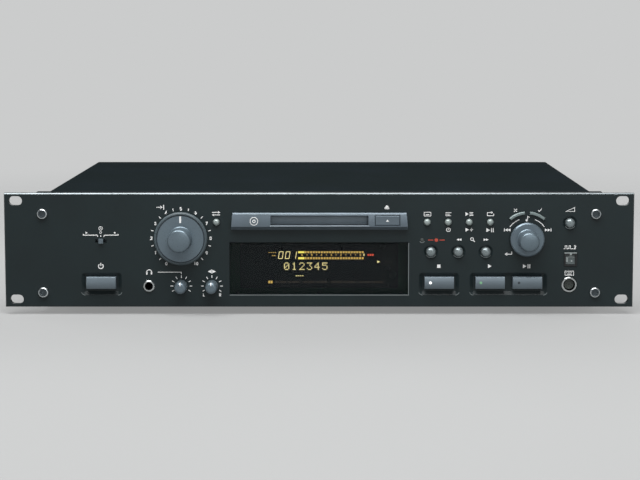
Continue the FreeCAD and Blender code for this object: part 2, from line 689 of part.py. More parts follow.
def make_arc_key(label, start, end, sine):
    """A curved key that follows the track dial."""
    key = Piece(label).place(S.track_x, FACE, BASE + S.track_z)
    stem = Circle(ARC_RADIUS * sine, ARC_RADIUS * math.sin(ARC_MIDDLE), S.stem_radius)
    collar = Ring(0, 0, S.arc_inner - S.collar_extra, S.arc_outer + S.collar_extra,
                  start - 2, end + 2)
    collar_at = WEB_BACK + S.part_gap
    key.add("y", -S.arc_reach, collar_at, Ring(0, 0, S.arc_inner, S.arc_outer, start, end))
    return finish_key(key, S.key_edge, collar, stem, collar_at, SWITCH_FRONT + S.key_travel,
                      S.arc_reach, "Chamfer")


def make_eject_button():
    """The eject key in the bezel."""
    key = Piece("eject_button").place(S.eject_x, FACE, BASE + SLOT_MIDDLE)
    extra = S.collar_extra * 2
    collar_at = S.collar_deep + S.part_gap
    reach = S.bezel_reach + 0.4
    key.add("y", -reach, collar_at, centred(0, 0, S.eject_long, S.eject_high))
    return finish_key(key, S.key_edge, centred(0, 0, S.eject_long + extra, S.eject_high + extra),
                      Circle(0, 0, S.stem_radius), collar_at, SWITCH_FRONT + S.key_travel, reach)


def key_places():
    """The middle of each key that works a small switch."""
    places = [(x, S.small_z) for _, x in SMALL_KEYS]
    places += [(x, z) for _, x, z in ROUND_KEYS]
    places += [(x, S.wide_z) for _, x in WIDE_KEYS[1:]]
    places += [(S.track_x + ARC_RADIUS * sine, S.track_z + ARC_RADIUS * math.sin(ARC_MIDDLE))
               for _, _, _, sine in ARC_KEYS]
    places.append((S.eject_x, SLOT_MIDDLE))
    return places


def make_front_switches():
    """A push switch behind each key, the power switch on its flange, and the timer's slide switch."""
    switches = panel_piece("front_switches")
    switches.add("y", SWITCH_FRONT, S.board_front,
                 *[centred(x, z, S.switch_side, S.switch_side) for x, z in key_places()])
    switches.cut("y", SWITCH_FRONT, SWITCH_FRONT + S.key_travel * 2 + 0.4,
                 *[Circle(x, z, S.stem_radius + S.switch_bore_gap) for x, z in key_places()])
    front = S.panel_thick + S.frame_deep + 1
    side = S.power_switch_side
    switches.add("y", front, front + 1.5, centred(S.power_x, S.wide_z, S.wide_long + 18, side))
    switches.add("y", front + 1.5, front + S.power_switch_deep, centred(S.power_x, S.wide_z, side, side))
    bore = S.power_stem + S.switch_bore_gap * 2
    switches.cut("y", front, front + S.power_travel + 3, centred(S.power_x, S.wide_z, bore, bore))
    timer = S.board_front - S.timer_body_high
    switches.add("y", timer, S.board_front,
                 centred(S.power_x, S.timer_z, S.timer_body_long, S.timer_body_high))
    neck = S.timer_neck + S.switch_bore_gap * 2
    switches.cut("y", timer, timer + 3.5,
                 centred(S.power_x, S.timer_z, neck + S.timer_travel * 2, neck))
    return switches


def make_timer_slider():
    """The timer's three-place slider: a knob in front of its slot, a neck, and a dust plate on it."""
    slider = Piece("timer_slider").place(S.power_x, FACE, BASE + S.timer_z)
    plate = WEB_BACK + S.part_gap
    neck = centred(0, 0, S.timer_neck, S.timer_neck)
    cover = S.timer_knob_wide + S.timer_travel * 4 + 1
    slider.add("y", -S.timer_reach, -S.part_gap, centred(0, 0, S.timer_knob_wide, S.timer_knob_high))
    slider.add("y", -S.part_gap, plate, neck)
    slider.add("y", plate, plate + 1.2, centred(0, 0, cover, S.timer_neck + 4))
    slider.add("y", plate + 1.2, S.board_front - S.timer_body_high + 3, neck)
    return slider


def make_dial(label, x, z, radius, plate, boss, shaft_end, groove=None):
    """A dial turned from one piece: a bevelled plate, a tall grip and the shaft behind it."""
    dial = Piece(label).place(x, FACE, BASE + z)
    rear = -S.knob_gap - S.track_travel
    front = rear - plate
    reach = -S.knob_reach
    profile = [(shaft_end, 0), (shaft_end, S.shaft_radius), (rear, S.shaft_radius), (rear, radius),
               (front + 0.9, radius), (front, radius - 0.9)]
    if groove is not None:
        half = S.groove_wide / 2
        profile += [(front, groove + half), (front + S.groove_deep, groove + half - 0.15),
                    (front + S.groove_deep, groove - half + 0.15), (front, groove - half)]
    profile += [(front, boss + 0.5), (front - 0.5, boss), (reach, boss - 0.2), (reach, 0)]
    dial.turn(*profile)
    return dial.soften("Fillet", S.boss_edge, lambda edge: edge.BoundBox.YMax < number(reach) + 0.01)


def make_trim_knob(label, x):
    """A small pointer knob with its shaft."""
    knob = Piece(label).place(x, FACE, BASE + S.trim_z)
    radius = S.trim_radius
    reach = -S.trim_reach
    knob.turn((S.board_front - 4, 0), (S.board_front - 4, S.shaft_radius),
              (-S.knob_gap, S.shaft_radius), (-S.knob_gap, radius), (-2, radius),
              (reach, radius - 0.4), (reach, 0))
    return knob.soften("Fillet", S.trim_dome, lambda edge: edge.BoundBox.YMax < number(reach) + 0.01)


def make_rotary_controls():
    """The level control, the two trim controls and the track encoder, on the front boards."""
    controls = panel_piece("rotary_controls")
    body = S.board_front - S.pot_deep
    start = S.panel_thick + 0.5
    places = [(S.input_x, S.input_z), (S.track_x, S.track_z)]
    side = S.pot_radius * 2 - 5
    controls.add("y", start, body, *[Circle(x, z, S.bushing_radius) for x, z in places])
    controls.add("y", body, S.board_front, Circle(S.input_x, S.input_z, S.pot_radius),
                 centred(S.track_x, S.track_z, side, side))
    controls.add("y", body + 1, S.board_front,
                 *[centred(x, S.trim_z, side - 3, side - 3) for _, x in TRIM_KNOBS])
    bores = places + [(x, S.trim_z) for _, x in TRIM_KNOBS]
    controls.cut("y", start, S.board_front - 1,
                 *[Circle(x, z, S.shaft_radius + S.running_gap) for x, z in bores])
    return controls


def make_track_plunger():
    """The push plunger inside the track encoder, behind the dial's shaft."""
    plunger = Piece("track_plunger").place(S.track_x, FACE, BASE + S.track_z)
    end = S.board_front - 1 - S.track_travel - 0.2
    return plunger.add("y", S.board_front - 4, end, Circle(0, 0, S.shaft_radius))


def make_slot_bezel():
    """The raised bezel of the disc slot: bevels, a collar behind it, the slot and the key's opening."""
    bezel = Piece("slot_bezel").place(S.slot_x, FACE, BASE)
    half = S.bezel_long / 2
    face = 0.01 - number(S.bezel_reach)
    low = number(S.bezel_low) + 0.01
    upper = half - S.bezel_taper
    bezel.add("y", -S.bezel_reach, 0, Polygon((-half, S.bezel_low), (half, S.bezel_low),
                                              (upper, S.bezel_top), (-upper, S.bezel_top)))
    bezel.soften("Chamfer", S.bezel_bevel_low,
                 lambda edge: edge.BoundBox.YMax < face and edge.BoundBox.ZMax < low)
    bezel.soften("Chamfer", S.bezel_bevel,
                 lambda edge: edge.BoundBox.YMax < face and edge.BoundBox.ZMax > low + 6)
    collar = S.collar_long / 2
    bezel.add("y", 0, S.collar_deep, box(-collar, S.collar_low, collar, S.collar_top))
    slot = S.slot_long / 2
    bezel.cut("y", -S.bezel_reach, S.collar_deep, box(-slot, S.slot_low, slot, S.slot_high),
              centred(S.eject_x - S.slot_x, SLOT_MIDDLE, S.eject_long + S.key_gap * 2,
                      S.eject_high + S.key_gap * 2))
    room = S.door_depth - S.door_thick / 2 - S.door_gap
    bezel.cut("y", room, S.collar_deep, box(-slot, SLOT_MIDDLE, slot, S.slot_high + S.hinge_room))
    pin = S.door_pin + S.running_gap
    bezel.cut("x", -slot - 1.6, slot + 1.6, Circle(S.door_depth, S.slot_high + S.door_rise, pin))
    return bezel


def make_slot_door():
    """The flap that closes the disc slot, with a hinge pin at each end of its upper edge."""
    door = Piece("slot_door").place(S.slot_x, FACE, BASE)
    half = S.slot_long / 2 - S.door_gap
    hinge = S.slot_high + S.door_rise
    thick = S.door_thick / 2
    near, far = S.door_depth - thick, S.door_depth + thick
    door.add("x", -half, half, Polygon(
        (near, S.slot_low + S.door_gap), (far, S.slot_low + S.door_gap), (far, hinge + thick * 0.5),
        (far - thick * 0.5, hinge + thick), (near + thick * 0.5, hinge + thick),
        (near, hinge + thick * 0.5)))
    pin = Circle(S.door_depth, hinge, S.door_pin)
    door.add("x", half, half + S.door_gap + 1.3, pin)
    door.add("x", -half - S.door_gap - 1.3, -half, pin)
    return door


def make_display_window():
    """The smoked display window: a plug in the panel's opening and a flange behind it."""
    window = panel_piece("display_window")
    window.add("y", S.window_sink, S.panel_thick, window_outline(0))
    window.add("y", S.panel_thick, S.panel_thick + S.window_flange_thick,
               window_outline(S.window_flange))
    return window


def make_display_tube():
    """The fluorescent display tube and the holder that stands it off its board."""
    tube = panel_piece("display_tube")
    front = S.panel_thick + S.window_flange_thick + 2
    tube.add("y", front, front + S.tube_deep, centred(0, S.tube_z, S.tube_long, S.tube_high))
    tube.add("y", front + S.tube_deep, S.board_front,
             centred(0, S.tube_z, S.tube_long - 8, S.tube_high - 8))
    return tube


def make_phones_jack():
    """The headphone jack: ring nut, bush, body and its blind bore."""
    jack = panel_piece("phones_jack")
    x, z = S.phones_x, S.trim_z
    side = S.phones_ring * 2 + 2
    jack.add("y", -1, 0, Circle(x, z, S.phones_ring))
    jack.soften("Chamfer", 0.4, lambda edge: edge.BoundBox.YMax < -0.99)
    jack.add("y", 0, WEB_BACK + 0.3, Circle(x, z, S.phones_ring - 0.7))
    jack.add("y", WEB_BACK + 0.3, S.phones_deep + 2, centred(x, z, side, side))
    jack.cut("y", -1, S.phones_deep, Circle(x, z, S.phones_bore))
    return jack


def make_keyboard_socket():
    """The round six-pin socket: shell, bore, and the insert with its pin holes and key."""
    socket = panel_piece("keyboard_socket")
    x, z = S.column_x, S.keyboard_z
    socket.add("y", -0.5, S.board_front, Circle(x, z, S.keyboard_ring))
    socket.soften("Chamfer", 0.35, lambda edge: edge.BoundBox.YMax < -0.49)
    socket.cut("y", -0.5, S.keyboard_deep, Circle(x, z, S.keyboard_bore))
    holes = [(dx * 1.7, dz) for dx, dz in ((-1, 1.6), (1, 1.6), (-1.8, 0), (1.8, 0), (-1, -1.7), (1, -1.7))]
    socket.cut("y", S.keyboard_deep, S.keyboard_deep + 4,
               *[Circle(x + dx, z + dz, 0.45) for dx, dz in holes],
               centred(x, z + 0.2, 1.4, 1.6))
    return socket


def make_optical_socket():
    """The optical socket's housing, open to the front, with room for its shutter to lift."""
    socket = panel_piece("optical_socket")
    x, z = S.optic_x, S.optic_z
    top = z + S.optic_high / 2 - 2
    half = S.optic_hole_wide / 2
    socket.add("y", -0.4, S.board_front, centred(x, z, S.optic_wide, S.optic_high))
    socket.cut("y", -0.4, S.optic_deep, box(x - half, top - S.optic_hole_high, x + half, top))
    socket.cut("y", 0.3, S.optic_deep, box(x - half, z, x + half, top + 1))
    socket.cut("x", x - half - 0.7, x + half + 0.7,
               Circle(1 + S.shutter_thick / 2, top + 0.2, 0.3 + S.running_gap))
    return socket


def make_optical_shutter():
    """The shutter of the optical socket, hinged on two pins at its upper edge."""
    shutter = panel_piece("optical_shutter")
    x = S.optic_x
    top = S.optic_z + S.optic_high / 2 - 2
    half = S.optic_hole_wide / 2 - 0.15
    thick = S.shutter_thick / 2
    middle = 1 + thick
    low = top - S.optic_hole_high + 0.2
    shutter.add("x", x - half, x + half, Polygon(
        (middle - thick, low), (middle + thick, low), (middle + thick, top + 0.3),
        (middle, top + 0.3 + thick), (middle - thick, top + 0.3)))
    pin = Circle(middle, top + 0.2, 0.3)
    shutter.add("x", x + half, x + half + 0.65, pin)
    shutter.add("x", x - half - 0.65, x - half, pin)
    return shutter


def make_record_lamp():
    """The recording lamp: a domed diode on the right front board."""
    lamp = Piece("record_lamp").place(S.lamp_x, FACE, BASE + S.lamp_z)
    radius = S.lamp_radius
    return lamp.turn((S.board_front, 0), (S.board_front, radius), (0, radius),
                     (-0.45, radius * 0.8), (-0.7, radius * 0.4), (-0.75, 0))


def make_front_boards():
    """The three circuit boards behind the frame, cut back round the power key and the drive."""
    boards = panel_piece("front_boards")
    low, high = S.board_low, S.board_high
    front, back = S.board_front, S.board_front + S.board_thick
    boards.add("y", front, back, Polygon(
        (S.left_board_out, S.left_board_step_z), (S.left_board_step_x - 12, S.left_board_step_z),
        (S.left_board_step_x - 12, low), (S.left_board_in, low), (S.left_board_in, high),
        (S.left_board_out, high)))
    boards.add("y", front, back, box(S.left_board_in + 3, low, S.right_board_in - 3,
                                     S.window_high + 2))
    boards.add("y", front, back, Polygon(
        (S.right_board_in, low), (S.right_board_out, low), (S.right_board_out, high),
        (S.right_board_step_x, high), (S.right_board_step_x, S.right_board_step_z),
        (S.right_board_in, S.right_board_step_z)))
    room = S.phones_ring * 2 + 3
    boards.cut("y", front, back, centred(S.phones_x, S.trim_z, room, room))
    return boards


SIDE_SCREWS = [(y, TRAY_TOP + 7) for y in (FRAME_BACK + 45, REAR - 45)]
LIP_SCREWS = [(x, COVER_TOP - 5) for x in (-150, 0, 150)]
FEET = [(x, y) for x in pair(S.case_width / 2 - S.foot_inset_wide)
        for y in (FRAME_BACK + S.foot_inset_deep, REAR - S.foot_inset_deep)]
MAIN_POSTS = [(S.main_board_x + x, FACE + S.main_board_start + y)
              for x in pair(S.main_board_wide / 2 - 6) for y in (6, S.main_board_long - 6)]
POWER_POSTS = [(S.power_board_x + x, FACE + S.power_board_start + y)
               for x in pair(S.power_board_wide / 2 - 6) for y in (6, S.power_board_long - 6)]
JACKS = [(S.line_x + x, S.jack_low_z + z) for x in pair(S.jack_pitch / 2) for z in (0, S.jack_pitch)]
JACKS += [(S.coax_x, S.jack_low_z), (S.coax_x, S.jack_low_z + S.jack_pitch)]
INLET_SCREWS = [(S.inlet_x + x, S.inlet_z) for x in pair(S.inlet_screw_pitch / 2)]


def make_chassis_tray():
    """The folded steel tray: floor, side flanges, front ears and the posts under the boards."""
    tray = Piece("chassis_tray")
    half = TRAY_SIDE
    sheet = S.tray_sheet
    tray.add("z", TRAY_LOW, TRAY_TOP, box(-half, FRAME_BACK, half, REAR_INNER))
    for side in (-1, 1):
        outer, inner = half * side, (half - sheet) * side
        low, high = (inner, outer) if side > 0 else (outer, inner)
        tray.add("z", TRAY_TOP, TRAY_TOP + S.tray_flange, box(low, FRAME_BACK, high, REAR_INNER))
        ear = (half - 12) * side
        low, high = (ear, outer) if side > 0 else (outer, ear)
        tray.add("z", TRAY_TOP, BASE + 78, box(low, FRAME_BACK, high, FRAME_BACK + sheet))
    posts = MAIN_POSTS + POWER_POSTS
    tray.add("z", TRAY_TOP, TRAY_TOP + S.post_height, *[Circle(x, y, S.post_radius) for x, y in posts])
    tray.cut("z", TRAY_LOW, TRAY_TOP,
             *[Circle(x, y, S.post_radius + S.running_gap) for x, y in FEET])
    tray.cut("y", FRAME_BACK, FRAME_BACK + S.screw_tail + 1,
             *[Circle(x, BASE + z, S.screw_radius + S.running_gap) for x, z in SCREW_PLACES])
    tray.cut("x", -half, half, *[Circle(y, z, S.case_screw + S.running_gap) for y, z in SIDE_SCREWS])
    return tray


def make_top_cover():
    """The folded cover: top, two sides with ventilation slots, and a lip over the rear panel."""
    cover = Piece("top_cover")
    half = S.case_width / 2
    sheet = S.cover_sheet
    cover.add("y", FRAME_BACK, REAR, Polygon(
        (-half, TRAY_LOW), (-half + sheet, TRAY_LOW), (-half + sheet, COVER_TOP - sheet),
        (half - sheet, COVER_TOP - sheet), (half - sheet, TRAY_LOW), (half, TRAY_LOW),
        (half, COVER_TOP), (-half, COVER_TOP)))
    cover.add("y", REAR, REAR + sheet, box(-half, COVER_TOP - 10, half, COVER_TOP))
    limit = number(half) - 0.01
    cover.soften("Fillet", S.sheet_bend, lambda edge: along(AXIS_Y, edge) and (
        abs(edge.BoundBox.XMin) > limit and edge.BoundBox.ZMax > number(COVER_TOP) - 0.01))
    first = REAR - 30 - S.vent_pitch * (S.vent_count - 1)
    vents = [centred(first + S.vent_pitch * i, COVER_TOP / 2 + 6, S.vent_wide, S.vent_long)
             for i in range(int(number(S.vent_count)))]
    cover.cut("x", -half, half, *vents)
    cover.cut("x", -half, half, *[Circle(y, z, S.case_screw + S.running_gap) for y, z in SIDE_SCREWS])
    cover.cut("y", REAR, REAR + sheet,
              *[Circle(x, z, S.case_screw + S.running_gap) for x, z in LIP_SCREWS])
    return cover


def make_rear_panel():
    """The rear panel, with openings for the inlet, the jacks, the screws and the air."""
    panel = Piece("rear_panel")
    panel.add("y", REAR_INNER, REAR,
              box(-TRAY_SIDE, TRAY_LOW, TRAY_SIDE, COVER_TOP - S.cover_sheet))
    holes = [Circle(x, z, S.case_screw + S.running_gap) for x, z in LIP_SCREWS + INLET_SCREWS]
    holes += [Circle(x, z, S.jack_flange) for x, z in JACKS]
    holes.append(centred(S.inlet_x, S.inlet_z, S.inlet_wide, S.inlet_high))
    holes += [centred(-90 + S.vent_pitch * i, 50, S.vent_wide, S.vent_long) for i in range(12)]
    panel.cut("y", REAR_INNER, REAR, *holes)
    return panel


def make_feet():
    """Four round feet, each with a stepped rim and a post pressed into the tray's floor."""
    feet = Piece("feet")
    feet.add("z", 0, 2, *[Circle(x, y, S.foot_radius - 1.5) for x, y in FEET])
    feet.add("z", 2, TRAY_LOW, *[Circle(x, y, S.foot_radius) for x, y in FEET])
    feet.cut("z", 0, 3, *[Circle(x, y, S.foot_radius / 2) for x, y in FEET])
    feet.add("z", TRAY_LOW, TRAY_TOP, *[Circle(x, y, S.post_radius) for x, y in FEET])
    return feet


def make_case_screws():
    """The cover's side and rear screws, and the two that hold the mains inlet."""
    screws = Piece("case_screws")
    half = S.case_width / 2
    head = S.case_screw * 2
    shank = half - 6
    for low, high, face, far in ((shank, half, half, half + 1.6), (-half, -shank, -half - 1.6, -half)):
        screws.add("x", face, far, *[Circle(y, z, head) for y, z in SIDE_SCREWS])
        screws.add("x", low, high, *[Circle(y, z, S.case_screw) for y, z in SIDE_SCREWS])
    lip = REAR + S.cover_sheet
    screws.add("y", lip, lip + 1.6, *[Circle(x, z, head) for x, z in LIP_SCREWS])
    screws.add("y", REAR_INNER - 4, lip, *[Circle(x, z, S.case_screw) for x, z in LIP_SCREWS])
    face = REAR + S.inlet_lip
    screws.add("y", face, face + 1.4, *[Circle(x, z, head) for x, z in INLET_SCREWS])
    screws.add("y", REAR_INNER - 4, face, *[Circle(x, z, S.case_screw) for x, z in INLET_SCREWS])
    return screws


def make_mains_inlet():
    """The mains inlet: flange, housing, and three blades inside the plug's cavity."""
    inlet = Piece("mains_inlet")
    x, z = S.inlet_x, S.inlet_z
    wide = S.inlet_wide - S.part_gap * 2
    high = S.inlet_high - S.part_gap * 2
    back = REAR_INNER - S.inlet_deep
    mouth = REAR + S.inlet_lip
    wall = S.inlet_wall * 2
    inlet.add("y", REAR, mouth, Rounded(x, z, S.inlet_flange_wide, S.inlet_flange_high, 3))
    inlet.add("y", back, REAR, centred(x, z, wide, high))
    inlet.cut("y", back + S.inlet_wall, mouth, centred(x, z, wide - wall, high - wall))
    inlet.add("y", back + S.inlet_wall, REAR_INNER - 3, centred(x - 7, z - 1, 2, 4),
              centred(x + 7, z - 1, 2, 4), centred(x, z + 3, 2, 4))
    inlet.cut("y", REAR, mouth,
              *[Circle(x, z, S.case_screw + S.running_gap) for x, z in INLET_SCREWS])
    return inlet


def make_rear_jacks():
    """Line and digital phono jacks: barrels with their sockets, flanges and moulded blocks."""
    jacks = Piece("rear_jacks")
    back = REAR_INNER - S.jack_block_deep
    low = TRAY_TOP + S.post_height + S.board_thick
    high = S.jack_low_z + S.jack_pitch + S.jack_flange + 1
    side = S.jack_flange * 2 + 2
    jacks.add("y", back, REAR_INNER, box(S.line_x - side, low, S.line_x + side, high),
              box(S.coax_x - side / 2, low, S.coax_x + side / 2, high))
    jacks.add("y", REAR_INNER, REAR + 1.5,
              *[Circle(x, z, S.jack_flange - S.part_gap) for x, z in JACKS])
    jacks.add("y", REAR + 1.5, REAR + S.jack_reach, *[Circle(x, z, S.jack_radius) for x, z in JACKS])
    jacks.cut("y", REAR - 6, REAR + S.jack_reach, *[Circle(x, z, S.jack_core) for x, z in JACKS])
    return jacks


def make_case_boards():
    """The main board and the power board, on the tray's posts."""
    boards = Piece("case_boards")
    low = TRAY_TOP + S.post_height
    for x, start, wide, long in (
            (S.main_board_x, S.main_board_start, S.main_board_wide, S.main_board_long),
            (S.power_board_x, S.power_board_start, S.power_board_wide, S.power_board_long)):
        boards.add("z", low, low + S.board_thick,
                   box(x - wide / 2, FACE + start, x + wide / 2, FACE + start + long))
    return boards


def make_board_components():
    """What the two boards carry: chips, plugs, capacitors, and the power board's heat sink."""
    parts = Piece("board_components")
    low = TRAY_TOP + S.post_height + S.board_thick
    x, y = S.main_board_x, FACE + S.main_board_start
    chips = ((-60, 40, 20, 20), (-20, 40, 28, 28), (30, 36, 14, 20), (30, 66, 24, 12), (66, 40, 14, 9),
             (-66, 76, 10, 18), (-8, 80, 18, 11), (66, 74, 12, 8), (66, 90, 12, 8))
    parts.add("z", low, low + 2.6, *[centred(x + dx, y + dy, wide, long) for dx, dy, wide, long in chips])
    cans = ((-84, 20), (-76, 56), (8, 18), (52, 18), (82, 24), (82, 60), (10, 62), (-40, 96), (48, 98))
    parts.add("z", low, low + 12, *[Circle(x + dx, y + dy, 4) for dx, dy in cans])
    plugs = ((-40, 10, 34, 5), (20, 8, 12, 5), (70, 10, 24, 5))
    parts.add("z", low, low + 8, *[centred(x + dx, y + dy, wide, long) for dx, dy, wide, long in plugs])
    x, y = S.power_board_x, FACE + S.power_board_start
    parts.add("z", low, low + 32, *[Circle(x + dx, y + 86, 9) for dx in (-26, -4)])
    parts.add("z", low, low + 18, *[Circle(x + dx, y + dy, 5) for dx, dy in ((22, 90), (36, 90), (36, 70))])
    parts.add("z", low, low + 26, centred(x, y + 54, 60, 2.5))
    parts.add("z", low, low + 26, *[centred(x + dx, y + 60, 1.6, 10) for dx in range(-28, 29, 7)])
    parts.add("z", low, low + 9, centred(x - 24, y + 22, 22, 6), centred(x + 26, y + 14, 20, 6),
              centred(x + 6, y + 32, 14, 8))
    return parts


def make_transformer():
    """The mains transformer: laminated core on two foot rails, and the winding through it."""
    core = Piece("transformer_core")
    x = S.core_x
    start = FACE + S.core_start
    end = start + S.core_long
    half = S.core_wide / 2
    high = TRAY_TOP + S.core_high
    leg = 11
    core.add("z", TRAY_TOP, high, box(x - half, start, x + half, end))
    core.cut("y", start, end, box(x - half + leg, TRAY_TOP + leg, x - leg, high - leg),
             box(x + leg, TRAY_TOP + leg, x + half - leg, high - leg))
    core.add("z", TRAY_TOP, TRAY_TOP + 2, box(x - half - 8, start + 4, x - half, end - 4),
             box(x + half, start + 4, x + half + 8, end - 4))
    coil = Piece("transformer_coil")
    out = S.coil_out
    room = S.running_gap * 2
    coil.add("z", TRAY_TOP + leg + room, high - leg - room,
             box(x - half + leg + room, start - out, x + half - leg - room, end + out))
    coil.cut("z", TRAY_TOP + leg + room, high - leg - room,
             box(x - leg - room, start - room, x + leg + room, end + room))
    return core, coil


PINS = (S.holder_start + 16, S.holder_start + 62)
PIN_HIGH = S.holder_low + S.holder_inner_high / 2
HOLDER_HALF = S.holder_inner_wide / 2 + S.holder_sheet
WALL_IN = S.drive_wide / 2 - S.drive_wall
FLOOR_TOP = S.drive_floor + S.drive_wall
DRIVE_END = S.drive_start + S.drive_long
ROD_HIGH = (S.sled_low + S.sled_high) / 2
BLOCK_FRONT = S.spindle_depth + 4
BLOCK_REAR = DRIVE_END - 12
GEAR_RADIUS = S.gear_module * S.gear_teeth / 2
GEAR_HIGH = FLOOR_TOP + GEAR_RADIUS + 1.1
SLIDER_IN = -WALL_IN + S.part_gap
SLED_START = S.spindle_depth + S.motor_radius + S.sled_gap
POST_FRONT = S.holder_start + S.holder_long + 2.5
ARM_HIGH = S.holder_low + S.holder_inner_high + S.holder_sheet + 4.3


def make_drive_frame():
    """The drive's folded chassis: floor, slotted side walls, and bearing blocks for rods and screw."""
    frame = panel_piece("drive_frame")
    half = S.drive_wide / 2
    high = S.drive_floor + S.drive_high
    frame.add("y", S.drive_start, DRIVE_END, Polygon(
        (-half, S.drive_floor), (half, S.drive_floor), (half, high), (WALL_IN, high),
        (WALL_IN, FLOOR_TOP), (-WALL_IN, FLOOR_TOP), (-WALL_IN, high), (-half, high)))
    room = S.pin_radius + S.running_gap * 2
    slots = [box(y - room, PIN_HIGH - S.holder_drop - room, y + room, PIN_HIGH + room) for y in PINS]
    frame.cut("x", -half, half, *slots)
    outer = S.screw_offset + 3.5
    for low in (BLOCK_FRONT, BLOCK_REAR):
        frame.add("y", low, low + 4, box(-outer, FLOOR_TOP, -S.rod_spread + 4, ROD_HIGH + 4),
                  box(S.rod_spread - 4, FLOOR_TOP, S.rod_spread + 4, ROD_HIGH + 4))
        frame.cut("y", low, low + 4, Circle(-S.screw_offset, ROD_HIGH, S.screw_rod + S.running_gap),
                  *[Circle(x, ROD_HIGH, S.rod_radius) for x in pair(S.rod_spread)])
    tab = SLIDER_IN + S.slider_thick + S.part_gap
    for start in (S.drive_start + 14, BLOCK_REAR - 34):
        frame.add("y", start, start + 8, Polygon(
            (-WALL_IN, high - 4), (tab, high - 4), (tab, high - 7), (tab + 1.2, high - 7),
            (tab + 1.2, high - 2.8), (-WALL_IN, high - 2.8)))
    return frame


def make_drive_stand():
    """The folded stand under the drive, with feet on the tray's floor."""
    stand = Piece("drive_stand")
    half = S.drive_wide / 2
    sheet = S.stand_sheet
    top = DRIVE_FLOOR - S.damper_high
    stand.add("y", FACE + S.drive_start + 8, FACE + DRIVE_END - 8, Polygon(
        (-half - 12, TRAY_TOP), (-half + sheet, TRAY_TOP), (-half + sheet, top - sheet),
        (half - sheet, top - sheet), (half - sheet, TRAY_TOP), (half + 12, TRAY_TOP),
        (half + 12, TRAY_TOP + sheet), (half, TRAY_TOP + sheet), (half, top), (-half, top),
        (-half, TRAY_TOP + sheet), (-half - 12, TRAY_TOP + sheet)))
    stand.cut("z", top - sheet, top, centred(0, SPINDLE_Y + 20, S.drive_wide - 36, S.drive_long - 50))
    stand.cut("x", -half, half, centred(SPINDLE_Y + 16, TRAY_TOP + 16, 50, 14))
    return stand


def make_dampers():
    """Four rubber dampers between the stand and the drive."""
    dampers = Piece("dampers")
    top = DRIVE_FLOOR
    places = [(x, FACE + y) for x in pair(S.drive_wide / 2 - 7)
              for y in (S.drive_start + 18, DRIVE_END - 18)]
    dampers.add("z", top - S.damper_high, top, *[Circle(x, y, S.damper_radius) for x, y in places])
    return dampers


def make_drive_motors():
    """The loading, spindle and sled motors on their saddles, with bores for their shafts."""
    motors = panel_piece("drive_motors")
    small = GEAR_RADIUS + 0.5
    front = -WALL_IN + S.gear_thick + 3
    motors.add("x", front, front + 20, Circle(S.gear_depth, GEAR_HIGH, small))
    motors.add("x", front, front + 20,
               box(S.gear_depth - small, FLOOR_TOP, S.gear_depth + small, GEAR_HIGH))
    motors.add("z", FLOOR_TOP, S.table_low - S.part_gap, Circle(0, S.spindle_depth, S.motor_radius))
    rear = BLOCK_REAR + 4
    motors.add("y", rear, DRIVE_END + 6, Circle(-S.screw_offset, ROD_HIGH, small))
    motors.add("y", rear, DRIVE_END,
               box(-S.screw_offset - small, FLOOR_TOP, -S.screw_offset + small, ROD_HIGH))
    motors.cut("x", front, front + 8, Circle(S.gear_depth, GEAR_HIGH, 1 + S.running_gap))
    motors.cut("z", S.table_low - 10, S.table_low - S.part_gap,
               Circle(0, S.spindle_depth, S.spindle_radius + S.running_gap))
    motors.cut("y", rear, rear + 6, Circle(-S.screw_offset, ROD_HIGH, S.screw_rod + S.running_gap))
    return motors


def make_guide_rods():
    """The two steel rods that the pickup rides on."""
    rods = panel_piece("guide_rods")
    return rods.add("y", BLOCK_FRONT, BLOCK_REAR + 4,
                    *[Circle(x, ROD_HIGH, S.rod_radius) for x in pair(S.rod_spread)])


def make_lead_screw():
    """The sled's lead screw, between its front bearing and its motor."""
    screw = panel_piece("lead_screw")
    return screw.add("y", BLOCK_FRONT, BLOCK_REAR + 9.5,
                     Circle(-S.screw_offset, ROD_HIGH, S.screw_rod))


def make_pickup_sled():
    """The optical pickup on its sled, with the lens, the nut, and the post of the head arm."""
    sled = panel_piece("pickup_sled")
    half = S.sled_wide / 2
    end = SLED_START + S.sled_long
    sled.add("z", S.sled_low, S.sled_high, box(-half, SLED_START, half, end))
    sled.add("z", S.sled_low, S.sled_high, box(-5, end, 5, POST_FRONT + 4))
    sled.add("z", S.sled_low + 1, S.sled_high - 1,
             box(-S.screw_offset - 2.5, SLED_START + 6, -half, SLED_START + 14))
    sled.add("z", S.sled_high, S.sled_high + 2, Circle(0, S.spindle_depth + 14.5, S.lens_radius + 1))
    sled.add("z", S.sled_high + 2, S.sled_high + 3, Circle(0, S.spindle_depth + 14.5, S.lens_radius))
    sled.add("z", S.sled_high, ARM_HIGH + 2, box(-5, POST_FRONT, 5, POST_FRONT + 4))
    sled.add("x", -6.8, 6.8, Circle(POST_FRONT + 2, ARM_HIGH, S.pin_radius))
    sled.cut("y", SLED_START, POST_FRONT + 4,
             *[Circle(x, ROD_HIGH, S.rod_radius + S.running_gap) for x in pair(S.rod_spread)])
    sled.cut("y", SLED_START, end,
             Circle(-S.screw_offset, ROD_HIGH, S.screw_rod + S.running_gap))
    return sled


